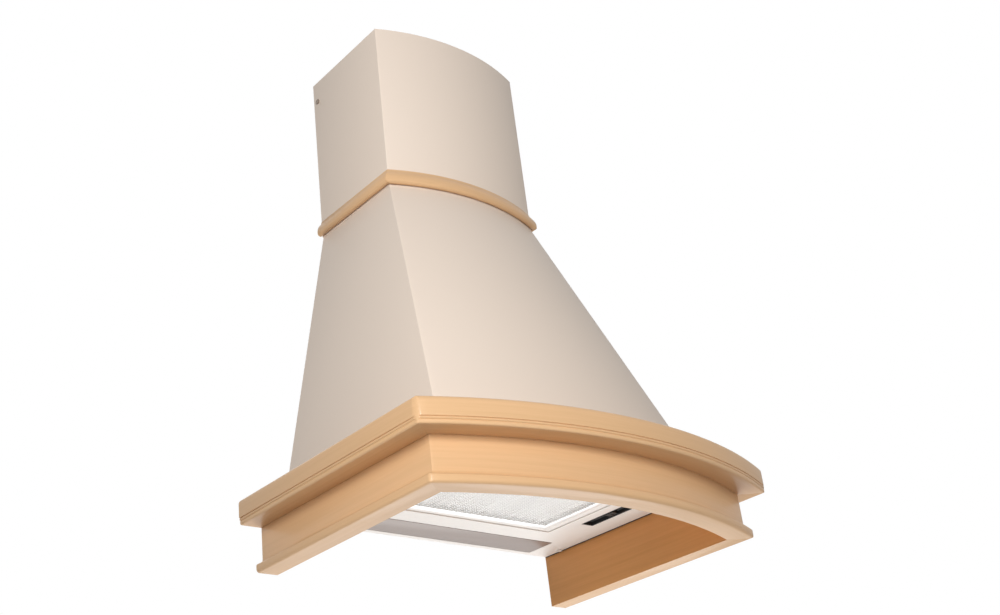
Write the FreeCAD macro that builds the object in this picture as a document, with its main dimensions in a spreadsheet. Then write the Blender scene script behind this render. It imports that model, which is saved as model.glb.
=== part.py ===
import FreeCAD, Part
import math
import os
import Sketcher

# Bow-front range hood cover for a kitchen wall, millimetres, +Z up, the front facing -Y.
# The wall is the plane Y = 0.  The pieces are drawn with Z = 0 at the bottom of the wooden
# frame, and every piece is then lowered by hang_height, so that the origin of the finished
# hood is the centre of the four holes that it hangs by.

SIZES = {
    # wooden frame: the frieze board, its moulded foot and the bow of its front
    "hang_height": 430, "frame_half_width": 266, "frame_side_depth": 367.5, "bow_radius": 700,
    "board_thickness": 22, "foot_height": 18, "foot_flat": 12, "foot_projection": 10,
    "foot_chamfer": 2, "foot_corner_round": 9,
    # cornice that lies on the boards and covers their outer top edge
    "cornice_bottom": 62, "cornice_height": 35, "cornice_overhang": 34, "cornice_nose_round": 8,
    "cornice_step": 1.2, "cornice_top_round": 5, "cornice_corner_round": 13, "leaf_thickness": 13,
    # canopy: sheet steel from the cornice up to the chimney
    "canopy_inset": 36, "canopy_top_height": 540, "canopy_top_half_width": 137,
    "canopy_top_side_depth": 175.5, "canopy_top_radius": 353, "sheet": 1.2, "canopy_flange": 13.2,
    "canopy_top_flange": 9, "canopy_return": 16, "canopy_trim": 10,
    # chimney cover, its wooden band and its wall bracket
    "chimney_half_width": 137.4, "chimney_side_depth": 174.2, "chimney_radius": 353.4,
    "chimney_top_height": 825, "chimney_sheet": 1, "band_height": 27, "band_projection": 9,
    "band_nose_height": 5, "band_back": 5, "band_lip": 1.8, "band_corner_round": 4,
    "bracket_height": 28, "bracket_tab": 24, "chimney_screw_drop": 37.3,
    "chimney_screw_setback": 11.4,
    # wall plate with the hanging holes
    "plate": 1.5, "hang_spacing": 160, "hang_rise": 100, "hang_hole_radius": 4,
    # underside tray
    "tray_height": 76, "tray_sheet": 1, "tray_gap": 0.5, "tray_rim": 6.5,
    "ledge_rise": 1.5, "ledge_margin": 15, "ledge_back_margin": 11, "ledge_front_margin": 17,
    "panel_screw_inset": 30, "panel_screw_back": 40, "panel_screw_front": 300,
    "screw_radius": 2, "screw_head_radius": 4, "screw_head_height": 1.8, "screw_length": 19,
    # grease filter cassette, hinged at its back edge
    "filter_inset": 121, "filter_back": 112, "filter_length": 230, "filter_thickness": 9,
    "filter_bar": 12, "filter_front_bar": 24, "filter_lip": 1.2, "filter_groove": 5,
    "filter_gap": 1, "filter_back_gap": 2.3, "grid_sheet": 1, "grid_margin": 2,
    "grid_web_x": 6.4, "grid_web_y": 5, "grid_columns": 6, "grid_rows": 9, "pleat_sheet": 0.6,
    "pleat_pitch": 9, "pin_radius": 2, "hinge_setback": 3,
    "ear_thickness": 2.4, "latch_half_width": 21, "latch_depth": 11, "latch_thickness": 3.2,
    "latch_travel": 5,
    # lamp: ribbed lens that drops on its back edge, its housing, two bulbs and their holders
    "lens_inset": 66, "lens_back": 13, "lens_depth": 50, "lens_wall": 2.2, "lens_rim": 6,
    "lens_gap": 1.5, "lens_ribs": 9, "lens_rib_height": 1, "lens_pin_radius": 1.5,
    "lens_pin_setback": 3, "housing_height": 44, "housing_sheet": 1.2, "housing_gap": 2,
    "bulb_radius": 12.5, "bulb_length": 84, "bulb_cap_radius": 7, "holder_radius": 12,
    "holder_length": 32,
    # controls: a dark bezel with two slide knobs and the switch box behind it
    "bezel_inset": 86, "bezel_width": 22, "bezel_back": 150, "bezel_length": 120,
    "bezel_recess": 5, "bezel_floor": 2.5, "bezel_wall": 2, "speed_travel": 24,
    "light_travel": 8, "knob_length": 16, "knob_width": 11, "knob_height": 4.2,
    "switch_height": 22, "neck_width": 3, "slide_gap": 0.4,
    # fan: motor box, scroll housing, impeller, motor
    "box_side_margin": 5, "box_back_margin": 8, "box_step_height": 124, "box_top_height": 330,
    "box_top_front": 240, "box_front_margin": 8, "box_front_foot": 22, "fan_setback": 186,
    "fan_height": 214, "scroll_reach": 121, "scroll_first_radius": 109, "scroll_growth": 7,
    "outlet_depth": 85, "scroll_wall": 2, "scroll_half_width": 62, "inlet_radius": 58,
    "inlet_lip": 4, "wheel_radius": 68, "wheel_half_width": 50, "blade_depth": 11,
    "blade_thickness": 0.9, "blade_count": 24, "disc_thickness": 2, "hub_radius": 9,
    "hub_length": 14, "shaft_radius": 4, "motor_radius": 38, "motor_gap": 8,
    "ring_inset": 8, "ring_width": 12, "arm_thickness": 2.5, "arm_width": 14, "running_gap": 0.05,
    # outlet collar with its two flaps
    "collar_radius": 60, "collar_wall": 3, "collar_height": 42, "collar_flange": 12,
    "collar_flange_height": 2.5, "duct_hole_margin": 16, "seat_height": 15,
    "seat_width": 4, "seat_thickness": 2,
    "spindle_radius": 1.5, "flap_thickness": 1.2, "knuckle_wall": 1.3, "flap_gap": 0.6,
    "capacitor_radius": 15, "capacitor_height": 50, "capacitor_inset": 38, "capacitor_setback": 60,
    "terminal_inset": 45, "terminal_half_width": 32, "terminal_depth": 42, "terminal_height": 28,
    "terminal_setback": 40,
    # clearances
    "seat_gap": 0.3,
}

doc = FreeCAD.newDocument("range_hood_cover")
sheet = doc.addObject("Spreadsheet::Sheet", "Sizes")


class Size:
    """A length that keeps the spreadsheet expression it is worked out by."""

    def __init__(self, text, value):
        self.text = text
        self.value = value

    def join(self, sign, other, value):
        return Size("(%s %s %s)" % (self.text, sign, other.text), value)

    def __add__(self, other):
        other = to_size(other)
        return self.join("+", other, self.value + other.value)

    def __sub__(self, other):
        other = to_size(other)
        return self.join("-", other, self.value - other.value)

    def __mul__(self, other):
        other = to_size(other)
        return self.join("*", other, self.value * other.value)

    def __truediv__(self, other):
        other = to_size(other)
        return self.join("/", other, self.value / other.value)

    def __neg__(self):
        return to_size(0) - self

    def __radd__(self, other):
        return to_size(other) + self

    def __rsub__(self, other):
        return to_size(other) - self

    def __rmul__(self, other):
        return to_size(other) * self


def to_size(number):
    if isinstance(number, Size):
        return number
    return Size("%.6g" % number if number >= 0 else "(%.6g)" % number, float(number))


def root(length):
    return Size("sqrt(%s)" % length.text, math.sqrt(length.value))


class Named:
    """The driving sizes by name."""


s = Named()
for row, (alias, number) in enumerate(SIZES.items(), start=1):
    sheet.set("A%d" % row, alias)
    sheet.set("B%d" % row, str(number))
    sheet.setAlias("B%d" % row, alias)
    setattr(s, alias, Size("Sizes." + alias, float(number)))
doc.recompute()

# places that follow the frame's width, the filter or the chimney's top
s.filter_half_width = s.frame_half_width - s.filter_inset
s.lens_half_width = s.frame_half_width - s.lens_inset
s.bezel_inner = s.frame_half_width - s.bezel_inset
s.panel_screw_x = s.frame_half_width - s.panel_screw_inset
s.filter_front = s.filter_back + s.filter_length
s.ledge_half_width = s.filter_half_width + s.ledge_margin
s.ledge_back = s.filter_back - s.ledge_back_margin
s.ledge_front = s.filter_front + s.ledge_front_margin
s.box_half_width = s.filter_half_width + s.box_side_margin
s.capacitor_x = s.box_half_width - s.capacitor_inset
s.terminal_x = s.box_half_width - s.terminal_inset
s.box_back_wall = s.filter_back - s.box_back_margin
s.box_front = s.filter_front + s.box_front_margin
s.chimney_screw_height = s.chimney_top_height - s.chimney_screw_drop

pieces = {}


def new_body(name, x=0, y=0, z=0, drawing=False):
    """A body whose own origin stands at x, y, z of the hood; a drawing is no piece itself."""
    body = doc.addObject("PartDesign::Body", name)
    body.Label = name
    body.setExpression("Placement.Base.x", to_size(x).text)
    body.setExpression("Placement.Base.y", to_size(y).text)
    body.setExpression("Placement.Base.z", (to_size(z) - s.hang_height).text)
    if not drawing:
        pieces[name] = body
    return body


def origin_part(body, role):
    return [part for part in body.Origin.OriginFeatures if part.Role == role][0]


def loop(*points):
    """Closed outline.  A point is (x, y), or (x, y, radius, side) where the edge that starts
    there is an arc; side +1 bulges to the left of the way on, -1 to the right."""
    return ("loop", points)


def disc(x, y, radius):
    return ("disc", (x, y, radius))


def box_loop(x0, x1, y0, y1):
    return loop((x0, y0), (x1, y0), (x1, y1), (x0, y1))


def arc_between(start, end, radius, side):
    chord = end.sub(start)
    half = chord.Length / 2
    rise = math.sqrt(max(radius * radius - half * half, 0))
    left = FreeCAD.Vector(-chord.y, chord.x, 0).normalize()
    centre = (start + end) * 0.5 - left * (rise * side)
    first = math.atan2(start.y - centre.y, start.x - centre.x)
    last = math.atan2(end.y - centre.y, end.x - centre.x)
    circle = Part.Circle(centre, FreeCAD.Vector(0, 0, 1), radius)
    if side < 0:
        return Part.ArcOfCircle(circle, first, last if last > first else last + 2 * math.pi), True
    return Part.ArcOfCircle(circle, last, first if first > last else first + 2 * math.pi), False


def sketch_on(body, name, plane, offset, shapes):
    """Sketch on an origin plane of its body, every vertex and radius bound to the sheet."""
    sketch = body.newObject("Sketcher::SketchObject", name)
    sketch.AttachmentSupport = [(origin_part(body, plane), "")]
    sketch.MapMode = "FlatFace"
    sketch.setExpression("AttachmentOffset.Base.z", to_size(offset).text)
    rules, bound = [], []

    def rule(expression, *terms):
        bound.append((len(rules), expression))
        rules.append(Sketcher.Constraint(*terms, expression.value))

    for kind, data in shapes:
        if kind == "disc":
            x, y, radius = (to_size(part) for part in data)
            index = sketch.addGeometry(Part.Circle(
                FreeCAD.Vector(x.value, y.value, 0), FreeCAD.Vector(0, 0, 1), radius.value), False)
            rule(x, "DistanceX", -1, 1, index, 3)
            rule(y, "DistanceY", -1, 1, index, 3)
            rule(radius, "Radius", index)
            continue
        corners = [(to_size(point[0]), to_size(point[1])) for point in data]
        places = [FreeCAD.Vector(x.value, y.value, 0) for x, y in corners]
        ends = []
        for number, point in enumerate(data):
            start, end = places[number], places[(number + 1) % len(data)]
            if len(point) == 4:
                radius = to_size(point[2])
                edge, forward = arc_between(start, end, radius.value, point[3])
                index = sketch.addGeometry(edge, False)
                ends.append((index, 1, 2) if forward else (index, 2, 1))
                rule(radius, "Radius", index)
            else:
                index = sketch.addGeometry(Part.LineSegment(start, end), False)
                ends.append((index, 1, 2))
        for number, (x, y) in enumerate(corners):
            index, first, last = ends[number]
            before, unused, before_last = ends[number - 1]
            rules.append(Sketcher.Constraint("Coincident", before, before_last, index, first))
            rule(x, "DistanceX", -1, 1, index, first)
            rule(y, "DistanceY", -1, 1, index, first)
    sketch.addConstraint(rules)
    for number, expression in bound:
        if expression.text.find("Sizes.") >= 0:
            sketch.setExpression("Constraints[%d]" % number, expression.text)
    return sketch


def slab(body, name, plane, offset, depth, *shapes):
    """Adds the outline, from offset, by depth along the plane's normal."""
    feature = body.newObject("PartDesign::Pad", name)
    feature.Profile = sketch_on(body, name + "_sketch", plane, offset, shapes)
    feature.setExpression("Length", to_size(depth).text)
    return feature


def cut(body, name, plane, offset, depth, *shapes):
    """Removes the outline, from offset, by depth along the plane's normal."""
    feature = body.newObject("PartDesign::Pocket", name)
    feature.Profile = sketch_on(body, name + "_sketch", plane, offset, shapes)
    feature.setExpression("Length", to_size(depth).text)
    feature.Reversed = True
    return feature


def turn(body, name, plane, offset, axis, angle, *shapes):
    """Revolves the outline about its sketch's axis, half of the angle to each side."""
    feature = body.newObject("PartDesign::Revolution", name)
    sketch = sketch_on(body, name + "_sketch", plane, offset, shapes)
    feature.Profile = sketch
    feature.ReferenceAxis = (sketch, [axis])
    feature.Angle = angle
    feature.Midplane = angle < 360
    return feature


def loft(body, name, kind, low, low_height, high, high_height):
    """Ruled loft between two outlines on level planes."""
    feature = body.newObject(kind, name)
    feature.Profile = sketch_on(body, name + "_low", "XY_Plane", low_height, [low])
    feature.Sections = [sketch_on(body, name + "_high", "XY_Plane", high_height, [high])]
    feature.Ruled = True
    return feature


def ring_of(body, name, feature, role, count):
    """Repeats a feature round an axis of its body."""
    pattern = body.newObject("PartDesign::PolarPattern", name)
    pattern.Originals = [feature]
    pattern.Axis = (origin_part(body, role), [""])
    pattern.setExpression("Occurrences", to_size(count).text)
    body.Tip = pattern
    return pattern


def row_of(body, name, feature, role, pitch, count, second_role, second_pitch, second_count):
    """Repeats a feature in rows and columns at given pitches."""
    pattern = body.newObject("PartDesign::LinearPattern", name)
    pattern.Originals = [feature]
    pattern.Direction = (origin_part(body, role), [""])
    pattern.setExpression("Length", (pitch * (count - 1)).text)
    pattern.setExpression("Occurrences", to_size(count).text)
    pattern.Direction2 = (origin_part(body, second_role), [""])
    pattern.setExpression("Length2", (second_pitch * (second_count - 1)).text)
    pattern.setExpression("Occurrences2", to_size(second_count).text)
    body.Tip = pattern
    return pattern


def mirrored(name, source):
    """The opposite hand of a piece, across the hood's middle."""
    twin = doc.addObject("Part::Mirroring", name)
    twin.Label = name
    twin.Source = source
    twin.Normal = FreeCAD.Vector(1, 0, 0)
    pieces[name] = twin
    return twin


def grouped(name, *sources):
    """Several separate solids that are handled as one piece."""
    group = doc.addObject("Part::Compound", name)
    group.Label = name
    group.Links = list(sources)
    pieces[name] = group
    return group


def pair(name, source):
    """A piece and its opposite hand in one group."""
    twin = doc.addObject("Part::Mirroring", name + "_twin")
    twin.Source = source
    twin.Normal = FreeCAD.Vector(1, 0, 0)
    return grouped(name, source, twin)


# ---- the bow: corners of the wooden frame and of everything that runs parallel to it --------

frame_bow_y = (root(s.bow_radius * s.bow_radius - s.frame_half_width * s.frame_half_width)
               - s.frame_side_depth)
cornice_top = s.cornice_bottom + s.cornice_height
leaf_bottom = cornice_top - s.leaf_thickness


def bow_corner(half_width, radius, offset):
    """Corner of side and front, offset outwards, measured from the bow's centre."""
    x = half_width + offset
    reach = radius + offset
    return x, -root(reach * reach - x * x)


def bow_outline(half_width, radius, centre_y, offset, back):
    """Back edge, two straight sides and a bowed front, offset outwards."""
    x, y = bow_corner(half_width, radius, offset)
    return loop((-x, back), (-x, centre_y + y, radius + offset, -1), (x, centre_y + y), (x, back))


def frame_outline(offset, back=0):
    return bow_outline(s.frame_half_width, s.bow_radius, frame_bow_y, offset, back)


def mitre_points(half_width, radius, inner, outer):
    """The mitre's line, drawn out by half of its length at both ends."""
    x0, y0 = bow_corner(half_width, radius, inner)
    x1, y1 = bow_corner(half_width, radius, outer)
    run, fall = (x1 - x0) / 2, (y1 - y0) / 2
    return (x0 - run, y0 - fall), (x1 + run, y1 + fall)


def corner_round(body, name, half_width, radius, offset, rounding, bottom, height, hand, shift):
    """Rounds the upright outer corner of a moulding."""
    x, reach = half_width + offset, radius + offset
    middle_x = x - rounding
    middle_y = -root((reach - rounding) * (reach - rounding) - middle_x * middle_x)
    share = reach / (reach - rounding)
    touch_x, touch_y = middle_x * share, middle_y * share
    far = rounding * 2
    cut(body, name, "XY_Plane", bottom, height, loop(
        (x * hand, middle_y + shift), ((x + far) * hand, middle_y + shift),
        ((x + far) * hand, touch_y - far + shift), (touch_x * hand, touch_y - far + shift),
        (touch_x * hand, touch_y + shift, rounding, -hand)))


def moulding(name, half_width, radius, bow_y, side_depth, profile, inner, outer, bottom, height,
             rounding):
    """A mitred bent moulding: a bowed front rail and two straight side rails.
    The profile's points are (offset outwards, height), arcs as in loop."""
    low, high = mitre_points(half_width, radius, inner, outer)
    far = side_depth

    def placed(sign, base):
        return loop(*[(base + point[0] * sign, *point[1:3], *(() if len(point) < 4 else (point[3] * sign,)))
                      for point in profile])

    side = new_body(name + "_right")
    slab(side, "rail", "XZ_Plane", 0, side_depth + outer * 2, placed(1, half_width))
    cut(side, "mitre", "XY_Plane", bottom - 1, height + 2, loop(
        (low[0], low[1] + bow_y), (high[0], high[1] + bow_y),
        (high[0], high[1] + bow_y - far), (low[0], high[1] + bow_y - far)))
    corner_round(side, "round", half_width, radius, outer, rounding, bottom - 1, height + 2, 1, bow_y)
    mirrored(name + "_left", side)

    front = new_body(name + "_front", 0, bow_y)
    turn(front, "bow", "YZ_Plane", 0, "V_Axis", 62, placed(-1, -radius))
    for hand, tag in ((1, "right"), (-1, "left")):
        cut(front, "mitre_" + tag, "XY_Plane", bottom - 1, height + 2, loop(
            (low[0] * hand, low[1]), (high[0] * hand, high[1]),
            ((high[0] + far) * hand, high[1]), ((high[0] + far) * hand, low[1] + far / 2),
            (low[0] * hand, low[1] + far / 2)))
        corner_round(front, "round_" + tag, half_width, radius, outer, rounding, bottom - 1,
                     height + 2, hand, 0)
    return side, front


# ---- wooden frame: frieze boards with a moulded foot ----------------------------------------

foot = s.foot_projection
cove = s.foot_height - s.foot_flat
frieze_profile = (
    (-s.board_thickness, to_size(0)), (foot - s.foot_chamfer, to_size(0)), (foot, s.foot_chamfer),
    (foot, s.foot_flat, (foot * foot + cove * cove) / 2 / cove, 1),
    (to_size(0), s.foot_height), (to_size(0), leaf_bottom), (-s.board_thickness, leaf_bottom))
moulding("frieze", s.frame_half_width, s.bow_radius, frame_bow_y, s.frame_side_depth, frieze_profile,
         -s.board_thickness, foot, to_size(0), leaf_bottom, s.foot_corner_round)

# ---- cornice --------------------------------------------------------------------------------

nose, crown, overhang = s.cornice_nose_round, s.cornice_top_round, s.cornice_overhang
leaf_inner = s.seat_gap - s.canopy_inset
cornice_profile = (
    (leaf_inner, leaf_bottom), (to_size(0), leaf_bottom), (to_size(0), s.cornice_bottom),
    (overhang - s.cornice_step - nose, s.cornice_bottom, nose, -1),
    (overhang - s.cornice_step, s.cornice_bottom + nose), (overhang, s.cornice_bottom + nose),
    (overhang, cornice_top - crown, crown, -1), (overhang - crown, cornice_top),
    (leaf_inner, cornice_top))
cornice_side, cornice_front = moulding(
    "cornice", s.frame_half_width, s.bow_radius, frame_bow_y, s.frame_side_depth, cornice_profile,
    leaf_inner, overhang, s.cornice_bottom, s.cornice_height, s.cornice_corner_round)
panel_screws = ((s.panel_screw_x, -s.panel_screw_back), (s.panel_screw_x, -s.panel_screw_front))
cut(cornice_side, "pilot_holes", "XY_Plane", leaf_bottom, s.leaf_thickness - 1,
    *[disc(x, y, s.screw_radius + s.running_gap) for x, y in panel_screws])

# ---- canopy: lofted sheet with a straight skirt, a flange below and one above ----------------

back = -s.plate
canopy_top_bow_y = root(s.canopy_top_radius * s.canopy_top_radius
                        - s.canopy_top_half_width * s.canopy_top_half_width) - s.canopy_top_side_depth
flange_bottom = leaf_bottom - s.sheet


def canopy_foot(inset, back_edge, spare=0):
    return bow_outline(s.frame_half_width + spare, s.bow_radius, frame_bow_y, -s.canopy_inset - inset,
                       back_edge)


def canopy_head(inset, back_edge, spare=0):
    return bow_outline(s.canopy_top_half_width + spare, s.canopy_top_radius, canopy_top_bow_y, -inset,
                       back_edge)


def canopy_slope(body, inset, back_edge, top):
    """Bow-fronted loft, made a little too wide and then trimmed to flat sides and a flat back."""
    spare = s.canopy_trim
    loft(body, "slope", "PartDesign::AdditiveLoft", canopy_foot(inset, back_edge + spare, spare),
         cornice_top, canopy_head(inset, back_edge + spare, spare), top)
    low_x, high_x = s.frame_half_width - s.canopy_inset - inset, s.canopy_top_half_width - inset
    reach = s.frame_half_width + spare
    for hand, tag in ((1, "right"), (-1, "left")):
        cut(body, "side_" + tag, "XZ_Plane", -spare * 2, s.bow_radius, loop(
            (low_x * hand, cornice_top), (reach * hand, cornice_top), (reach * hand, top),
            (high_x * hand, top)))
    cut(body, "flat_back", "XZ_Plane", -spare * 2, spare * 2 - back_edge,
        box_loop(-reach, reach, cornice_top, top))


outer = new_body("canopy_outer", drawing=True)
canopy_slope(outer, to_size(0), back, s.canopy_top_height)
slab(outer, "skirt", "XY_Plane", leaf_bottom, s.leaf_thickness, canopy_foot(to_size(0), back))
slab(outer, "bottom_flange", "XY_Plane", flange_bottom, s.sheet, canopy_foot(-s.canopy_flange, back))
cut(outer, "screw_holes", "XY_Plane", flange_bottom - 1, s.sheet + 2,
    *[disc(x * hand, y, s.screw_radius + s.running_gap) for x, y in panel_screws for hand in (1, -1)])

foot_half = s.frame_half_width - s.canopy_inset - s.canopy_return
head_half = s.canopy_top_half_width - s.canopy_return
head_low = s.canopy_top_height - s.canopy_top_flange
core = new_body("canopy_core", drawing=True)
canopy_slope(core, s.sheet, back - s.sheet, s.canopy_top_height - s.sheet)
slab(core, "skirt_inside", "XY_Plane", flange_bottom - 1, s.leaf_thickness + s.sheet + 1,
     canopy_foot(s.sheet, back - s.sheet))
slab(core, "top_opening", "XY_Plane", s.canopy_top_height - s.sheet * 2, s.sheet * 3,
     canopy_head(s.canopy_top_flange, back - s.canopy_top_flange))
slab(core, "back_opening", "XZ_Plane", s.plate - 1, s.sheet + 2, loop(
    (-foot_half, flange_bottom - 1), (foot_half, flange_bottom - 1), (foot_half, cornice_top),
    (head_half, head_low), (-head_half, head_low), (-foot_half, cornice_top)))

canopy = doc.addObject("Part::Cut", "canopy_shell")
canopy.Label = "canopy_shell"
canopy.Base = outer
canopy.Tool = core
pieces["canopy_shell"] = canopy

# plate that closes the canopy's top and carries the chimney cover
duct_half = s.collar_radius + s.duct_hole_margin
cap = new_body("canopy_top_plate")
slab(cap, "plate", "XY_Plane", s.canopy_top_height, s.sheet, canopy_head(to_size(0), back))
collar_setback = s.fan_setback - s.scroll_reach + s.outlet_depth / 2
cut(cap, "duct_hole", "XY_Plane", s.canopy_top_height - 1, s.sheet + 2, box_loop(
    -duct_half, duct_half, -collar_setback - duct_half + 8, -collar_setback + duct_half))

# ---- wall plate ------------------------------------------------------------------------------

wall_plate = new_body("wall_plate")
wall_low, wall_high = cornice_top + 3, s.canopy_top_height - 4
slab(wall_plate, "plate", "XZ_Plane", 0, s.plate, loop(
    (-(foot_half + s.canopy_return - 4), wall_low), (foot_half + s.canopy_return - 4, wall_low),
    (head_half + s.canopy_return - 3, wall_high), (-(head_half + s.canopy_return - 3), wall_high)))
cut(wall_plate, "hanging_holes", "XZ_Plane", -1, s.plate + 2,
    *[disc(s.hang_spacing / 2 * side, s.hang_height + s.hang_rise / 2 * level, s.hang_hole_radius)
      for side in (1, -1) for level in (1, -1)])

# ---- chimney cover, bracket and the wooden band over the joint ---------------------------------

chimney_bottom = s.canopy_top_height + s.sheet
chimney_bow_y = root(s.chimney_radius * s.chimney_radius
                     - s.chimney_half_width * s.chimney_half_width) - s.chimney_side_depth
inner_x, inner_y = bow_corner(s.chimney_half_width, s.chimney_radius, -s.chimney_sheet)
chimney = new_body("chimney_cover")
slab(chimney, "cover", "XY_Plane", chimney_bottom, s.chimney_top_height - chimney_bottom, loop(
    (-s.chimney_half_width, to_size(0)),
    (-s.chimney_half_width, -s.chimney_side_depth, s.chimney_radius, -1),
    (s.chimney_half_width, -s.chimney_side_depth), (s.chimney_half_width, to_size(0)),
    (inner_x, to_size(0)), (inner_x, chimney_bow_y + inner_y, s.chimney_radius - s.chimney_sheet, 1),
    (-inner_x, chimney_bow_y + inner_y), (-inner_x, to_size(0))))
for hand, tag in ((1, "right"), (-1, "left")):
    start = s.chimney_half_width - 3 if hand > 0 else -s.chimney_half_width - 3
    cut(chimney, "screw_hole_" + tag, "YZ_Plane", start, 6,
        disc(-s.chimney_screw_setback, s.chimney_screw_height, s.screw_radius + s.running_gap))

bracket = new_body("chimney_bracket")
bracket_low = s.chimney_screw_height - s.bracket_height / 2
bracket_x = inner_x - s.seat_gap
slab(bracket, "strap", "XY_Plane", bracket_low, s.bracket_height, loop(
    (-bracket_x, to_size(0)), (-bracket_x, -s.bracket_tab), (-bracket_x + s.plate, -s.bracket_tab),
    (-bracket_x + s.plate, -s.plate), (bracket_x - s.plate, -s.plate),
    (bracket_x - s.plate, -s.bracket_tab), (bracket_x, -s.bracket_tab), (bracket_x, to_size(0))))
for hand, tag in ((1, "right"), (-1, "left")):
    start = bracket_x - 4 if hand > 0 else -bracket_x - 4
    cut(bracket, "screw_hole_" + tag, "YZ_Plane", start, 8,
        disc(-s.chimney_screw_setback, s.chimney_screw_height, s.screw_radius + s.running_gap))
cut(bracket, "wall_holes", "XZ_Plane", -1, s.plate + 2,
    *[disc(s.hang_spacing * 0.375 * side, s.chimney_screw_height, s.hang_hole_radius - 1)
      for side in (1, -1)])

side_screw = new_body("chimney_screw", s.chimney_half_width, -s.chimney_screw_setback,
                      s.chimney_screw_height, drawing=True)
slab(side_screw, "shank", "YZ_Plane", -8, 8, disc(0, 0, s.screw_radius))
slab(side_screw, "head", "YZ_Plane", 0, s.screw_head_height, disc(0, 0, s.screw_head_radius))
pair("chimney_screws", side_screw)

band_low = chimney_bottom + s.seat_gap
band_profile = (
    (s.seat_gap / 2, band_low), (s.band_back, band_low),
    (s.band_projection, band_low + s.band_nose_height, s.band_height, -1),
    (s.band_lip, band_low + s.band_height), (s.seat_gap / 2, band_low + s.band_height))
moulding("band", s.chimney_half_width, s.chimney_radius, chimney_bow_y, s.chimney_side_depth,
         band_profile, s.seat_gap / 2, s.band_projection, band_low, s.band_height,
         s.band_corner_round)

# ---- tray of the underside ---------------------------------------------------------------------

tray_top = s.tray_height + s.tray_sheet
ledge_bottom = s.tray_height + s.ledge_rise
ledge_top = ledge_bottom + s.tray_sheet
tray_offset = -s.board_thickness - s.tray_gap
tray_back = -s.plate - s.tray_gap
mouth = box_loop(-s.filter_half_width - s.filter_gap, s.filter_half_width + s.filter_gap,
                 -s.filter_front - s.filter_gap * 2, -s.filter_back + s.filter_back_gap)
lens_front = s.lens_back + s.lens_depth
lens_x = s.lens_half_width + s.lens_gap
lens_opening = box_loop(-lens_x, lens_x, -lens_front - s.lens_gap, -s.lens_back + s.lens_gap)
bezel_outer = s.bezel_inner + s.bezel_width
bezel_front = s.bezel_back + s.bezel_length


def bezel_box(inset):
    return box_loop(s.bezel_inner + inset, bezel_outer - inset, -bezel_front + inset,
                    -s.bezel_back - inset)


tray = new_body("tray")
slab(tray, "pan", "XY_Plane", s.tray_height, s.tray_rim, frame_outline(tray_offset, tray_back))
cut(tray, "inside", "XY_Plane", tray_top, s.tray_rim,
    frame_outline(tray_offset - s.tray_sheet, tray_back - s.tray_sheet))
slab(tray, "ledge", "XY_Plane", s.tray_height, ledge_top - s.tray_height, box_loop(
    -s.ledge_half_width - s.tray_sheet, s.ledge_half_width + s.tray_sheet,
    -s.ledge_front - s.tray_sheet, -s.ledge_back + s.tray_sheet))
cut(tray, "ledge_recess", "XY_Plane", s.tray_height - 1, s.ledge_rise + 1,
    box_loop(-s.ledge_half_width, s.ledge_half_width, -s.ledge_front, -s.ledge_back))
cut(tray, "openings", "XY_Plane", s.tray_height - 1, s.tray_rim, mouth, lens_opening,
    bezel_box(-s.seat_gap),
    *[disc(x * hand, y, s.screw_radius + s.running_gap) for x, y in panel_screws for hand in (1, -1)])

panel_screw_bodies = []
for tag, (x, y) in zip(("back", "front"), panel_screws):
    screw = new_body("panel_screw_" + tag, x, y, s.tray_height, drawing=True)
    slab(screw, "shank", "XY_Plane", 0, s.screw_length, disc(0, 0, s.screw_radius))
    slab(screw, "head", "XY_Plane", -s.screw_head_height, s.screw_head_height,
         disc(0, 0, s.screw_head_radius))
    twin = doc.addObject("Part::Mirroring", "panel_screw_%s_twin" % tag)
    twin.Source = screw
    twin.Normal = FreeCAD.Vector(1, 0, 0)
    panel_screw_bodies += [screw, twin]
grouped("panel_screws", *panel_screw_bodies)

# ---- grease filter -----------------------------------------------------------------------------

filter_low = s.tray_height
sight_x = s.filter_half_width - s.filter_bar
sight_back = s.filter_back + s.filter_bar
sight_front = s.filter_front - s.filter_front_bar
hinge_y = -s.filter_back - s.hinge_setback
hinge_z = filter_low + s.filter_thickness / 2


def filter_box(x_inset, y_inset):
    return box_loop(-sight_x + x_inset, sight_x - x_inset, -sight_front + y_inset,
                    -sight_back - y_inset)


cassette = new_body("filter_frame")
slab(cassette, "frame", "XY_Plane", filter_low, s.filter_thickness,
     box_loop(-s.filter_half_width, s.filter_half_width, -s.filter_front, -s.filter_back),
     filter_box(to_size(0), to_size(0)))
cut(cassette, "groove", "XY_Plane", filter_low + s.filter_lip, s.filter_thickness - s.filter_lip * 2,
    filter_box(-s.filter_groove, -s.filter_groove))
for hand, tag in ((1, "right"), (-1, "left")):
    start = s.filter_half_width - s.filter_groove if hand > 0 else -s.filter_half_width
    cut(cassette, "pin_hole_" + tag, "YZ_Plane", start, s.filter_groove,
        disc(hinge_y, hinge_z, s.pin_radius))
latch_front = s.filter_front - 2
latch_low = filter_low + 1
cut(cassette, "latch_pocket", "XY_Plane", filter_low - 1, s.latch_thickness + s.slide_gap + 2,
    box_loop(-s.latch_half_width - s.slide_gap, s.latch_half_width + s.slide_gap, -latch_front - 3,
             -latch_front + s.latch_depth + s.latch_travel + s.slide_gap))

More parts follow.
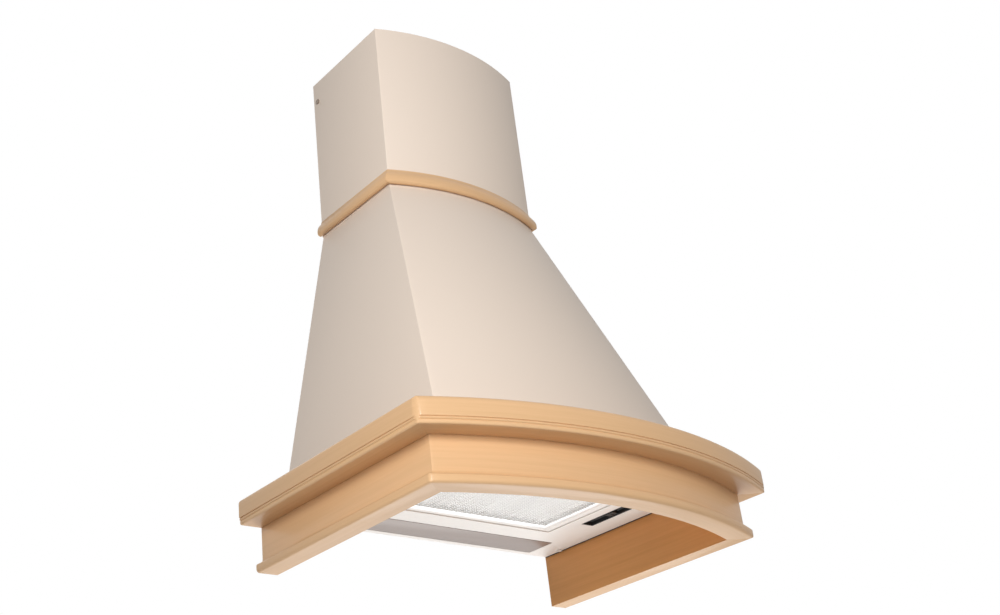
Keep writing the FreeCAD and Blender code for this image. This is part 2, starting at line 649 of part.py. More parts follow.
grid_low = filter_low + s.filter_lip + s.seat_gap
grid = new_body("filter_grid")
edge = s.filter_groove - s.seat_gap
slab(grid, "plate", "XY_Plane", grid_low, s.grid_sheet, filter_box(-edge, -edge))
pitch_x = (sight_x - s.grid_margin) * 2 / s.grid_columns
pitch_y = (sight_front - sight_back - s.grid_margin * 2) / s.grid_rows
first_x, first_y = s.grid_margin - sight_x, s.grid_margin - sight_front
slot = cut(grid, "slot", "XY_Plane", grid_low - 1, s.grid_sheet + 2, box_loop(
    first_x + s.grid_web_x / 2, first_x + pitch_x - s.grid_web_x / 2,
    first_y + s.grid_web_y / 2, first_y + pitch_y - s.grid_web_y / 2))
row_of(grid, "slots", slot, "X_Axis", pitch_x, s.grid_columns, "Y_Axis", pitch_y, s.grid_rows)

pleat_low = grid_low + s.grid_sheet + s.seat_gap
pleat_rise = filter_low + s.filter_thickness - s.filter_lip - s.seat_gap - pleat_low - s.pleat_sheet
mesh = new_body("filter_mesh")
mesh_half = sight_x + edge
folds = int(mesh_half.value * 2 / s.pleat_pitch.value)
fold_run = mesh_half * 2 / folds
lower, upper = [], []
for number in range(folds + 1):
    x = fold_run * number - mesh_half
    z = pleat_low + (pleat_rise if number % 2 else 0)
    lower.append((x, z))
    upper.append((x, z + s.pleat_sheet))
slab(mesh, "pleats", "XZ_Plane", sight_back - edge, sight_front - sight_back + edge * 2,
     loop(*(lower + upper[::-1])))

pin = new_body("filter_pin", s.filter_half_width, hinge_y, hinge_z, drawing=True)
slab(pin, "pin", "YZ_Plane", -s.filter_groove, s.filter_groove + s.filter_gap + s.seat_gap
     + s.ear_thickness, disc(0, 0, s.pin_radius))
pair("filter_pins", pin)

ear = new_body("filter_hinge_ear", s.filter_half_width + s.filter_gap + s.seat_gap, hinge_y,
               ledge_top, drawing=True)
ear_rise = hinge_z - ledge_top
slab(ear, "ear", "YZ_Plane", 0, s.ear_thickness, loop(
    (to_size(-6), to_size(0)), (to_size(6), to_size(0)), (to_size(6), ear_rise, 6, -1),
    (to_size(0), ear_rise + 6, 6, -1), (to_size(-6), ear_rise)))
cut(ear, "bore", "YZ_Plane", -1, s.ear_thickness + 2, disc(0, ear_rise, s.pin_radius + s.running_gap))
pair("filter_hinge_ears", ear)

latch = new_body("filter_latch")
slab(latch, "slide", "XY_Plane", latch_low, s.latch_thickness,
     box_loop(-s.latch_half_width, s.latch_half_width, -latch_front, -latch_front + s.latch_depth))
cut(latch, "finger_groove", "XY_Plane", latch_low - 1, 2.6, box_loop(
    -s.latch_half_width + 5, s.latch_half_width - 5, -latch_front + 4, -latch_front + s.latch_depth - 2))
slab(latch, "tongue", "XY_Plane", latch_low, s.latch_thickness, box_loop(
    -s.latch_half_width / 2, s.latch_half_width / 2, -s.filter_front - s.filter_gap, -latch_front))

# ---- lamp --------------------------------------------------------------------------------------

lens_low = s.tray_height
lens = new_body("lamp_lens")
lens_pin_y, lens_pin_z = -s.lens_back - s.lens_pin_setback, lens_low + s.lens_rim / 2 + 0.5
slab(lens, "dish", "XY_Plane", lens_low, s.lens_rim,
     box_loop(-s.lens_half_width, s.lens_half_width, -lens_front, -s.lens_back))
cut(lens, "inside", "XY_Plane", lens_low + s.lens_wall, s.lens_rim, box_loop(
    -s.lens_half_width + s.lens_wall, s.lens_half_width - s.lens_wall,
    -lens_front + s.lens_wall, -s.lens_back - s.lens_wall))
rib_pitch = (s.lens_depth - s.lens_wall * 2) / s.lens_ribs
rib_start = lens_front - s.lens_wall
for number in range(int(s.lens_ribs.value)):
    near = rib_pitch * number - rib_start
    slab(lens, "rib_%d" % number, "YZ_Plane", -s.lens_half_width + s.lens_wall,
         (s.lens_half_width - s.lens_wall) * 2, loop(
             (near, lens_low + s.lens_wall), (near + rib_pitch, lens_low + s.lens_wall),
             (near + rib_pitch / 2, lens_low + s.lens_wall + s.lens_rib_height)))
lens_pin_end = s.lens_half_width + s.lens_gap + s.housing_gap + s.housing_sheet - 0.5
for hand, tag in ((1, "right"), (-1, "left")):
    start = s.lens_half_width - 1 if hand > 0 else -lens_pin_end
    slab(lens, "pin_" + tag, "YZ_Plane", start, lens_pin_end - s.lens_half_width + 1,
         disc(lens_pin_y, lens_pin_z, s.lens_pin_radius))

house_x = lens_x + s.housing_gap
house_front = lens_front + s.lens_gap + s.housing_gap
house_back = s.lens_back - s.lens_gap - s.housing_gap
housing = new_body("lamp_housing")
slab(housing, "channel", "XY_Plane", tray_top, s.housing_height, box_loop(
    -house_x - s.housing_sheet, house_x + s.housing_sheet, -house_front - s.housing_sheet,
    -house_back + s.housing_sheet))
slab(housing, "flange", "XY_Plane", tray_top, s.housing_sheet, box_loop(
    -house_x - 7, house_x + 7, -house_front - 7, -house_back + s.housing_sheet))
cut(housing, "inside", "XY_Plane", tray_top - 1, s.housing_height + 1 - s.housing_sheet,
    box_loop(-house_x, house_x, -house_front, -house_back))
for hand, tag in ((1, "right"), (-1, "left")):
    start = house_x - 1 if hand > 0 else -house_x - s.housing_sheet - 1
    cut(housing, "pin_hole_" + tag, "YZ_Plane", start, s.housing_sheet + 2,
        disc(lens_pin_y, lens_pin_z, s.lens_pin_radius + s.running_gap))

lamp_y = -s.lens_back - s.lens_depth / 2
lamp_z = tray_top + (s.housing_height - s.housing_sheet) / 2 + 3
holder = new_body("lamp_holder_one", house_x, lamp_y, lamp_z, drawing=True)
slab(holder, "shell", "YZ_Plane", -s.holder_length, s.holder_length, disc(0, 0, s.holder_radius))
cut(holder, "socket", "YZ_Plane", -s.holder_length - 1, s.holder_length - 7,
    disc(0, 0, s.bulb_cap_radius + s.seat_gap))
pair("lamp_holders", holder)
bulb = new_body("lamp_bulb_one", house_x - 10, lamp_y, lamp_z, drawing=True)
cap_run = s.holder_length - 9
turn(bulb, "tube", "XZ_Plane", 0, "H_Axis", 360, loop(
    (to_size(0), to_size(0)), (to_size(0), s.bulb_cap_radius), (-cap_run, s.bulb_cap_radius),
    (-cap_run, s.bulb_radius), (-cap_run - s.bulb_length, s.bulb_radius),
    (-cap_run - s.bulb_length, to_size(0))))
pair("lamp_bulbs", bulb)

# ---- controls ----------------------------------------------------------------------------------

bezel_x = s.bezel_inner + s.bezel_width / 2
floor_low = s.tray_height + s.bezel_recess
floor_top = floor_low + s.bezel_floor
speed_y = -s.bezel_back - s.bezel_length * 0.42
light_y = -s.bezel_back - s.bezel_length * 0.82
knobs = (("speed", speed_y, s.speed_travel), ("light", light_y, s.light_travel))
bezel = new_body("control_bezel")
slab(bezel, "tub", "XY_Plane", s.tray_height, s.bezel_recess + s.bezel_floor, bezel_box(to_size(0)))
cut(bezel, "recess", "XY_Plane", s.tray_height - 1, s.bezel_recess + 1, bezel_box(s.bezel_wall))
cut(bezel, "neck_slots", "XY_Plane", floor_low - 1, s.bezel_floor + 2, *[box_loop(
    bezel_x - s.neck_width / 2 - s.slide_gap, bezel_x + s.neck_width / 2 + s.slide_gap,
    y - s.knob_length / 2 + 2 - s.slide_gap, y + s.knob_length / 2 - 2 + s.slide_gap + travel)
    for tag, y, travel in knobs])

cavity_rise = to_size(5)
switch = new_body("switch_box")
slab(switch, "case", "XY_Plane", floor_top, s.switch_height, bezel_box(to_size(0)))
cut(switch, "slider_cavities", "XY_Plane", floor_top - 1, cavity_rise + 1, *[box_loop(
    bezel_x - s.knob_width / 2 - s.slide_gap, bezel_x + s.knob_width / 2 + s.slide_gap,
    y - s.knob_length / 2 - s.slide_gap, y + s.knob_length / 2 + s.slide_gap + travel)
    for tag, y, travel in knobs])
for tag, y, travel in knobs:
    knob = new_body(tag + "_slider", bezel_x, y)
    half_x, half_y = s.knob_width / 2, s.knob_length / 2
    head_low = floor_low - s.seat_gap - s.knob_height
    slab(knob, "head", "XY_Plane", head_low, s.knob_height, box_loop(-half_x, half_x, -half_y, half_y))
    slab(knob, "grip", "XY_Plane", head_low - 0.6, 0.6,
         box_loop(-half_x + 1, half_x - 1, to_size(-1), to_size(1)))
    slab(knob, "neck", "XY_Plane", floor_low - s.seat_gap, s.bezel_floor + s.seat_gap * 2, box_loop(
        -s.neck_width / 2, s.neck_width / 2, -half_y + 2, half_y - 2))
    slab(knob, "foot", "XY_Plane", floor_top + s.seat_gap, 3, box_loop(-half_x, half_x, -half_y, half_y))

# ---- motor box ---------------------------------------------------------------------------------


def box_profile(inset, drop):
    """Side view of the motor box: a step over the lamp, a top and a sloping front."""
    return loop(
        (-s.box_back_wall - inset, drop), (-s.box_back_wall - inset, s.box_step_height + inset),
        (back - inset, s.box_step_height + inset), (back - inset, s.box_top_height - inset),
        (-s.box_top_front + inset, s.box_top_height - inset),
        (-s.box_front + inset, ledge_top + s.box_front_foot), (-s.box_front + inset, drop))


motor_box = new_body("motor_box")
slab(motor_box, "case", "YZ_Plane", -s.box_half_width, s.box_half_width * 2,
     box_profile(to_size(0), ledge_top))
cut(motor_box, "inside", "YZ_Plane", -s.box_half_width + s.sheet, (s.box_half_width - s.sheet) * 2,
    box_profile(s.sheet, ledge_top - 1))
slab(motor_box, "side_flanges", "XY_Plane", ledge_top, s.sheet,
     box_loop(-s.box_half_width - 8, -s.box_half_width, -s.box_front, -s.box_back_wall),
     box_loop(s.box_half_width, s.box_half_width + 8, -s.box_front, -s.box_back_wall),
     box_loop(-s.box_half_width - 8, s.box_half_width + 8, -s.box_front - 7, -s.box_front))
outlet_back = -s.fan_setback + s.scroll_reach
outlet_front = outlet_back - s.outlet_depth
cut(motor_box, "outlet", "XY_Plane", s.box_top_height - s.sheet - 1, s.sheet + 2, box_loop(
    -s.scroll_half_width + 8, s.scroll_half_width - 8, outlet_front + 3, outlet_back - 3))

# ---- fan: every piece is drawn about the fan's axis, which lies along X -------------------------

neck_top = s.box_top_height - s.sheet - s.fan_height


def scroll(inset, top):
    """Snail outline of three quarter arcs, each one tighter than the one before."""
    first = s.scroll_first_radius
    second = first - s.scroll_growth
    third = second - s.scroll_growth
    centre_x = s.scroll_reach - first
    centre_x3 = centre_x - s.scroll_growth
    centre_y2 = -s.scroll_growth
    neck_x = s.scroll_reach - s.outlet_depth
    tongue = centre_y2 + third
    return loop(
        (s.scroll_reach - inset, top), (neck_x + inset, top), (neck_x + inset, tongue - inset),
        (centre_x3, tongue - inset, third - inset, -1),
        (centre_x - second + inset, centre_y2, second - inset, -1),
        (centre_x, -first + inset, first - inset, -1), (s.scroll_reach - inset, to_size(0)))


def fan_body(name, drawing=False):
    return new_body(name, 0, -s.fan_setback, s.fan_height, drawing)


housing_right = fan_body("scroll_right")
slab(housing_right, "half", "YZ_Plane", 0, s.scroll_half_width, scroll(to_size(0), neck_top))
cut(housing_right, "cavity", "YZ_Plane", -1, s.scroll_half_width - s.scroll_wall + 1,
    scroll(s.scroll_wall, neck_top + 1))
slab(housing_right, "inlet_lip", "YZ_Plane", s.scroll_half_width, s.inlet_lip,
     disc(0, 0, s.inlet_radius + 4))
cut(housing_right, "inlet", "YZ_Plane", s.scroll_half_width - 5, s.inlet_lip + 10,
    disc(0, 0, s.inlet_radius))
mirrored("scroll_left", housing_right)

wheel = fan_body("impeller")
slab(wheel, "disc", "YZ_Plane", -s.disc_thickness / 2, s.disc_thickness,
     disc(0, 0, s.wheel_radius - 1))
slab(wheel, "hub", "YZ_Plane", -s.hub_length, s.hub_length, disc(0, 0, s.hub_radius))
for tag, start in (("left", -s.wheel_half_width - 2), ("right", s.wheel_half_width)):
    slab(wheel, "ring_" + tag, "YZ_Plane", start, 2, disc(0, 0, s.wheel_radius),
         disc(0, 0, s.wheel_radius - 4))
blade_in = s.wheel_radius - s.blade_depth
blade = slab(wheel, "blade", "YZ_Plane", -s.wheel_half_width, s.wheel_half_width * 2, loop(
    (blade_in, to_size(0)), (s.wheel_radius - 0.5, to_size(4)),
    (s.wheel_radius - 0.7, 4 + s.blade_thickness), (blade_in, s.blade_thickness)))
ring_of(wheel, "blades", blade, "X_Axis", s.blade_count)
bore = cut(wheel, "bore", "YZ_Plane", -s.hub_length - 1, s.hub_length + 4,
           disc(0, 0, s.shaft_radius + 0.02))
wheel.Tip = bore

shaft_end = s.scroll_half_width + s.inlet_lip
shaft = fan_body("motor_shaft")
slab(shaft, "shaft", "YZ_Plane", -s.hub_length - 2, s.hub_length + 2 + shaft_end - 6,
     disc(0, 0, s.shaft_radius))
motor = fan_body("fan_motor")
turn(motor, "can", "XZ_Plane", 0, "H_Axis", 360, loop(
    (s.motor_gap, s.shaft_radius + s.running_gap), (s.motor_gap, s.motor_radius),
    (shaft_end - 12, s.motor_radius), (shaft_end - 12, s.motor_radius - 6),
    (shaft_end, s.motor_radius - 6), (shaft_end, s.shaft_radius + s.running_gap)))

spider = fan_body("motor_bracket")
slab(spider, "ring", "YZ_Plane", shaft_end, s.arm_thickness, disc(0, 0, s.motor_radius - s.ring_inset),
     disc(0, 0, s.motor_radius - s.ring_inset - s.ring_width))
arm = slab(spider, "arm", "YZ_Plane", shaft_end, s.arm_thickness, box_loop(
    s.motor_radius - s.ring_inset - s.ring_width / 2, s.inlet_radius + 3, -s.arm_width / 2, s.arm_width / 2))
ring_of(spider, "arms", arm, "X_Axis", 3)

# ---- outlet collar and its flaps, drawn about the collar's upright axis -------------------------


def collar_body(name, drawing=False):
    return new_body(name, 0, -collar_setback, s.box_top_height, drawing)


bore_radius = s.collar_radius - s.collar_wall
spindle_z = s.seat_height + s.seat_thickness + s.seat_gap + s.spindle_radius + s.knuckle_wall
collar = collar_body("outlet_collar")
slab(collar, "flange", "XY_Plane", 0, s.collar_flange_height, disc(0, 0, s.collar_radius + s.collar_flange))
slab(collar, "tube", "XY_Plane", 0, s.collar_height, disc(0, 0, s.collar_radius))
cut(collar, "bore_low", "XY_Plane", -1, s.seat_height + 1, disc(0, 0, bore_radius))
cut(collar, "bore_high", "XY_Plane", s.seat_height + s.seat_thickness, s.collar_height,
    disc(0, 0, bore_radius))
cut(collar, "seat_bore", "XY_Plane", -1, s.collar_height, disc(0, 0, bore_radius - s.seat_width))
cut(collar, "spindle_holes", "YZ_Plane", -s.collar_radius + 1, (s.collar_radius - 1) * 2,
    disc(0, spindle_z, s.spindle_radius))
spindle = collar_body("flap_spindle")
slab(spindle, "rod", "YZ_Plane", -s.collar_radius + 1.2, (s.collar_radius - 1.2) * 2,
     disc(0, spindle_z, s.spindle_radius))

flap_low = s.seat_height + s.seat_thickness + s.seat_gap
knuckle = s.spindle_radius + s.knuckle_wall
flap_radius = bore_radius - s.flap_gap
clear_y = knuckle + s.flap_gap
clear_x = root(flap_radius * flap_radius - clear_y * clear_y)
for hand, tag, shift in ((1, "back", 0), (-1, "front", 1)):
    flap = collar_body("flap_" + tag)
    slab(flap, "leaf", "XY_Plane", flap_low, s.flap_thickness, loop(
        (clear_x, clear_y * hand, flap_radius, -hand), (-clear_x, clear_y * hand)))
    for number in range(2):
        left = flap_radius * (-0.72 + 0.36 * shift + 0.72 * number)
        run = flap_radius * 0.3
        slab(flap, "knuckle_%d" % number, "YZ_Plane", left, run, disc(0, spindle_z, knuckle))
        slab(flap, "web_%d" % number, "XY_Plane", flap_low, s.flap_thickness,
             box_loop(left, left + run, to_size(0), (clear_y + 1) * hand))
    cut(flap, "bore", "YZ_Plane", -flap_radius, flap_radius * 2,
        disc(0, spindle_z, s.spindle_radius + s.running_gap))

# ---- electrical pieces on top of the motor box ---------------------------------------------------

capacitor = new_body("capacitor", s.capacitor_x, -s.capacitor_setback, s.box_top_height)
slab(capacitor, "can", "XY_Plane", 0, s.capacitor_height, disc(0, 0, s.capacitor_radius))
slab(capacitor, "post", "XY_Plane", s.capacitor_height, 4, disc(0, 0, s.capacitor_radius / 3))
terminal = new_body("terminal_box", -s.terminal_x, -s.terminal_setback, s.box_top_height)
wide, deep = s.terminal_half_width, s.terminal_depth / 2
slab(terminal, "case", "XY_Plane", 0, s.terminal_height, box_loop(-wide, wide, -deep, deep))
cut(terminal, "inside", "XY_Plane", 2, s.terminal_height, box_loop(-wide + 2, wide - 2, -deep + 2, deep - 2))
cut(terminal, "gland_hole", "XZ_Plane", -deep - 1, s.terminal_depth + 2, disc(0, s.terminal_height / 2, 5))
lid = new_body("terminal_lid", -s.terminal_x, -s.terminal_setback, s.box_top_height + s.terminal_height)
slab(lid, "lid", "XY_Plane", 0, 2, box_loop(-wide, wide, -deep, deep))
slab(lid, "spigot", "XY_Plane", -2, 2, box_loop(
    -wide + 2 + s.seat_gap, wide - 2 - s.seat_gap, -deep + 2 + s.seat_gap, deep - 2 - s.seat_gap))

# ---- check every feature, then write one file for each piece -------------------------------------

doc.recompute()
for item in doc.Objects:
    if "Invalid" in item.State or "Error" in item.State:
        raise RuntimeError("%s failed: %s" % (item.Label, item.State))
for name, piece in pieces.items():
    shape = piece.Shape
    if shape.isNull() or not shape.isValid() or not shape.Solids:
        raise RuntimeError("%s has no sound solid" % name)
os.makedirs("parts", exist_ok=True)
for name, piece in pieces.items():
    piece.Shape.exportStep(os.path.join("parts", name + ".step"))
print("pieces written:", len(pieces))
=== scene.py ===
"""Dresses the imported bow-front range hood: bent wooden mouldings, cream sheet metal, the grease
filter, the lamp and the controls, in a plain studio.  Metres, +Z up, the hood's front faces -Y."""

import logging
import math
from dataclasses import dataclass
from enum import Enum
from typing import Callable, Optional, Sequence

import bmesh
import bpy
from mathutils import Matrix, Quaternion, Vector

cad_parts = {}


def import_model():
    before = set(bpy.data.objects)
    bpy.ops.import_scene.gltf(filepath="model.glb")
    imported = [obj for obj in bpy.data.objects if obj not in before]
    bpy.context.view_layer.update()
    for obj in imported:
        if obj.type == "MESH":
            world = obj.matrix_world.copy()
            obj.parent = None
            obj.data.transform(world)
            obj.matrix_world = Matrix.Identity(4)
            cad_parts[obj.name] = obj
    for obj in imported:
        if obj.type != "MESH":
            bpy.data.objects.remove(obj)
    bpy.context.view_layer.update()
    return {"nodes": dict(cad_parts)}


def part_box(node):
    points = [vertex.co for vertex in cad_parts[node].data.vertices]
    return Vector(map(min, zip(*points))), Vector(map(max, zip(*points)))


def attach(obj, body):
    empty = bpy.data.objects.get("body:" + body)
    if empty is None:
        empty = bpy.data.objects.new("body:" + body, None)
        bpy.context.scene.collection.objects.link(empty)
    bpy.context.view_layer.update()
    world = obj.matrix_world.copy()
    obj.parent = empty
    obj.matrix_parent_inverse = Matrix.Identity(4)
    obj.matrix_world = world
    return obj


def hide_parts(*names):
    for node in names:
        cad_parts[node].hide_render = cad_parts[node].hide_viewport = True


LOG = logging.getLogger("range_hood")
Point = tuple[float, float]
Point3 = tuple[float, float, float]
Piece = bpy.types.Object
Material = bpy.types.Material
# the origin is the centre of the wall holes, so far above the wooden frame's bottom
HANG_HEIGHT = 0.430
# corners nearer than this are one corner
MERGE_DISTANCE = 0.000005
# a sharper turn of the surface is an edge
EDGE_ANGLE = math.radians(40)
# a lopsided place, from which hardly two corners are equally far
SORT_PLACE = (1.713, 2.317, 3.911)


# ---- colours and shader nodes ----


def linear(colour: str) -> tuple[float, float, float, float]:
    """Turns an sRGB hex colour to linear.

    Args:
        colour: six hex digits after a hash sign.

    Returns:
        Red, green, blue and an alpha of 1.
    """
    parts = [int(colour[place:place + 2], 16) / 255 for place in (1, 3, 5)]
    red, green, blue = [
        part / 12.92 if part <= 0.04045 else ((part + 0.055) / 1.055) ** 2.4 for part in parts
    ]
    return red, green, blue, 1.0


def add_node(tree: bpy.types.NodeTree, kind: str, links: Optional[dict] = None,
             **settings: object) -> bpy.types.Node:
    """Adds a shader node.

    Args:
        tree: the node tree that gets it.
        kind: the node's type name without "ShaderNode".
        links: socket name or number to a value or to another node's output.
        settings: attributes of the node itself.

    Returns:
        The new node.
    """
    node = tree.nodes.new("ShaderNode" + kind)
    for name, value in settings.items():
        setattr(node, name, value)
    for name, value in (links or {}).items():
        if isinstance(value, bpy.types.NodeSocket):
            tree.links.new(value, node.inputs[name])
        else:
            node.inputs[name].default_value = value
    return node


class Run(Enum):
    """The way along which wood grain runs."""

    DEEP = "y"
    BOW = "bow"


@dataclass(frozen=True)
class Finish:
    """A plain finish: paint, metal or plastic, with an optional fine texture.

    grit_mm is the spacing of the texture and grit_depth its height, both in millimetres. tint is
    how far the brightness drifts from one cloud of cloud_mm to the next.
    """

    name: str
    colour: str
    roughness: float
    metallic: float = 0.0
    coat: float = 0.0
    coat_roughness: float = 0.18
    grit_mm: float = 0.0
    grit_depth: float = 0.0
    grit_strength: float = 0.35
    tint: float = 0.0
    cloud_mm: float = 166.6667
    transmission: float = 0.0
    ior: float = 1.5

    def start(self) -> tuple[bpy.types.NodeTree, bpy.types.Node, Material]:
        """Makes the material and its shader.

        Returns:
            The node tree, its Principled shader and the material.
        """
        material = bpy.data.materials.new(self.name)
        material.use_nodes = True
        tree = material.node_tree
        shader = tree.nodes["Principled BSDF"]
        shader.inputs["Base Color"].default_value = linear(self.colour)
        shader.inputs["Roughness"].default_value = self.roughness
        shader.inputs["Metallic"].default_value = self.metallic
        shader.inputs["Coat Weight"].default_value = self.coat
        shader.inputs["Coat Roughness"].default_value = self.coat_roughness
        if not self.metallic:  # a metal keeps the shader's own value
            shader.inputs["IOR"].default_value = self.ior
        shader.inputs["Transmission Weight"].default_value = self.transmission
        return tree, shader, material

    def build(self) -> Material:
        """Makes the material with its texture.

        Returns:
            The finished material.
        """
        tree, shader, material = self.start()
        place = add_node(tree, "TexCoord").outputs["Object"]
        if self.grit_mm:
            grit = add_node(tree, "TexNoise", {"Vector": place, "Scale": 1000 / self.grit_mm,
                                               "Detail": 3.0})
            bump = add_node(tree, "Bump", {"Height": grit.outputs["Fac"],
                                           "Strength": self.grit_strength,
                                           "Distance": self.grit_depth / 1000})
            tree.links.new(bump.outputs["Normal"], shader.inputs["Normal"])
        if self.tint:
            cloud = add_node(tree, "TexNoise", {"Vector": place, "Scale": 1000 / self.cloud_mm,
                                                "Detail": 4.0})
            shade = add_node(tree, "MapRange", {"Value": cloud.outputs["Fac"], 1: 0.3, 2: 0.7,
                                                3: 1 - self.tint, 4: 1 + self.tint})
            mixed = add_node(tree, "VectorMath", {0: linear(self.colour)[:3],
                                                  "Scale": shade.outputs[0]}, operation="SCALE")
            tree.links.new(mixed.outputs[0], shader.inputs["Base Color"])
        return material


@dataclass(frozen=True)
class WoodFinish(Finish):
    """Light wood with fine straight grain.

    dark is the colour of the darker streaks. Figure is the broad streaks and fibre the fine ones,
    each with its spacing and its length along the grain. ramp holds the levels of the pattern at
    which the dark and the light colour are reached.
    """

    dark: str = "#DAB082"
    run: Run = Run.DEEP
    bow_radius: float = 0.0
    bow_centre: float = 0.0
    figure_mm: float = 5.0
    figure_length_mm: float = 333.3333
    fibre_mm: float = 0.9
    fibre_length_mm: float = 45.4545
    fibre_share: float = 0.3
    fibre_depth: float = 0.1
    fibre_strength: float = 0.15
    ramp: Point = (0.30, 0.62)

    def grain_place(self, tree: bpy.types.NodeTree) -> bpy.types.NodeSocket:
        """Coordinates along the grain, across it and up.

        Args:
            tree: the material's node tree.

        Returns:
            The vector output in metres.
        """
        place = add_node(tree, "TexCoord").outputs["Object"]
        axes = add_node(tree, "SeparateXYZ", {0: place})
        x, y, z = axes.outputs
        if self.run is Run.DEEP:
            return add_node(tree, "CombineXYZ", {0: y, 1: x, 2: z}).outputs[0]
        depth = add_node(tree, "Math", {0: self.bow_centre, 1: y}, operation="SUBTRACT").outputs[0]
        turn = add_node(tree, "Math", {0: x, 1: depth}, operation="ARCTAN2").outputs[0]
        along = add_node(tree, "Math", {0: turn, 1: self.bow_radius}, operation="MULTIPLY").outputs[0]
        flat = add_node(tree, "CombineXYZ", {0: x, 1: depth}).outputs[0]
        reach = add_node(tree, "VectorMath", {0: flat}, operation="LENGTH").outputs["Value"]
        return add_node(tree, "CombineXYZ", {0: along, 1: reach, 2: z}).outputs[0]

    def build(self) -> Material:
        """Makes the wood with broad figure, fine fibres and a satin lacquer.

        Returns:
            The finished material.
        """
        tree, shader, material = self.start()
        place = self.grain_place(tree)
        figure_scale = (1000 / self.figure_length_mm, 1000 / self.figure_mm, 1000 / self.figure_mm)
        wide = add_node(tree, "Mapping", {"Vector": place, "Scale": figure_scale})
        figure = add_node(tree, "TexNoise", {"Vector": wide.outputs[0], "Scale": 1.0, "Detail": 5.0,
                                             "Roughness": 0.55, "Distortion": 0.5})
        fibre_scale = (1000 / self.fibre_length_mm, 1000 / self.fibre_mm, 1000 / self.fibre_mm)
        thin = add_node(tree, "Mapping", {"Vector": place, "Scale": fibre_scale})
        fibre = add_node(tree, "TexNoise", {"Vector": thin.outputs[0], "Scale": 1.0, "Detail": 2.0})
        both = add_node(tree, "Mix", {0: self.fibre_share, 2: figure.outputs["Fac"],
                                      3: fibre.outputs["Fac"]}, data_type="FLOAT")
        ramp = add_node(tree, "ValToRGB", {0: both.outputs[0]})
        for stop, level, colour in zip(ramp.color_ramp.elements, self.ramp, (self.dark, self.colour)):
            stop.position = level
            stop.color = linear(colour)
        tree.links.new(ramp.outputs[0], shader.inputs["Base Color"])
        bump = add_node(tree, "Bump", {"Height": fibre.outputs["Fac"], "Strength": self.fibre_strength,
                                       "Distance": self.fibre_depth / 1000})
        tree.links.new(bump.outputs["Normal"], shader.inputs["Normal"])
        return material


# ---- modelling by hand ----


def deselect_all() -> None:
    """Leaves edit mode and selects nothing."""
    if bpy.context.mode != "OBJECT":
        bpy.ops.object.mode_set(mode="OBJECT")
    bpy.ops.object.select_all(action="DESELECT")


def take(piece: Piece) -> None:
    """Selects one object alone and makes it active.

    Args:
        piece: the object.
    """
    deselect_all()
    piece.select_set(True)
    bpy.context.view_layer.objects.active = piece


def edit(piece: Piece, mode: str = "VERT") -> None:
    """Opens an object in edit mode with everything selected.

    Args:
        piece: the object to edit.
        mode: what is selected: VERT, EDGE or FACE.
    """
    take(piece)
    bpy.ops.object.mode_set(mode="EDIT")
    bpy.ops.mesh.select_mode(type=mode)
    bpy.ops.mesh.select_all(action="SELECT")


def finish_edit() -> None:
    """Goes back to object mode."""
    bpy.ops.object.mode_set(mode="OBJECT")


def extrude(way: Sequence[float]) -> None:
    """Extrudes what is selected along a vector."""
    bpy.ops.mesh.extrude_region_move(TRANSFORM_OT_translate={"value": tuple(way)})


def settle(name: str) -> Piece:
    """Names the primitive that was just added and puts its place into its mesh.

    Args:
        name: its name.

    Returns:
        The object.
    """
    piece = bpy.context.object
    piece.name = name
    bpy.ops.object.transform_apply(location=True, rotation=True, scale=True)
    return piece


def choose(piece: Piece, kind: str, test: Callable[[Vector, Vector], bool]) -> None:
    """Selects corners or edges in edit mode by their place.

    Args:
        piece: the object in edit mode.
        kind: VERT or EDGE.
        test: takes a corner's place and normal, or an edge's middle and direction.
    """
    bpy.ops.mesh.select_mode(type=kind)
    bpy.ops.mesh.select_all(action="DESELECT")
    mesh = bmesh.from_edit_mesh(piece.data)
    if kind == "EDGE":
        for edge in mesh.edges:
            start, end = [vertex.co for vertex in edge.verts]
            if test((start + end) / 2, (end - start).normalized()):
                edge.select_set(True)
    else:
        for vertex in mesh.verts:
            if test(vertex.co, vertex.normal):
                vertex.select_set(True)
    bmesh.update_edit_mesh(piece.data)


def draw(name: str, points: Sequence[Vector], closed: bool = True) -> Piece:
    """Draws an outline by extruding one corner from point to point.

    Args:
        name: the object's name.
        points: the corners in order.
        closed: whether the last corner is joined to the first.

    Returns:
        The wire object.
    """
    deselect_all()
    bpy.ops.mesh.primitive_plane_add(size=0.001, location=points[0])
    piece = settle(name)
    edit(piece)
    bpy.ops.mesh.merge(type="CENTER")
    for start, end in zip(points, points[1:]):
        extrude(end - start)
    if closed:
        extrude(points[0] - points[-1])
        bpy.ops.mesh.select_all(action="SELECT")
        bpy.ops.mesh.remove_doubles(threshold=MERGE_DISTANCE * 2)
    finish_edit()
    return piece


def arc(centre: Point, radius: float, start: float, end: float, steps: int) -> list[Point]:
    """Points of an arc in a profile.

    Args:
        centre: the arc's centre.
        radius: its radius.
        start: first angle in degrees.
        end: last angle in degrees.
        steps: how many parts it has.

    Returns:
        The points, both ends included.
    """
    angles = [math.radians(start + (end - start) * step / steps) for step in range(steps + 1)]
    return [(centre[0] + radius * math.cos(a), centre[1] + radius * math.sin(a)) for a in angles]


def cut_flat(piece: Piece, place: Vector, normal: Vector) -> None:
    """Cuts off what lies on the normal's side of a plane and closes the cut.

    Args:
        piece: the object to cut.
        place: a point of the plane.
        normal: points to the side that goes.
    """
    edit(piece)
    bpy.ops.mesh.bisect(plane_co=place, plane_no=normal, use_fill=True, clear_outer=True,
                        clear_inner=False, threshold=0.000001)
    finish_edit()


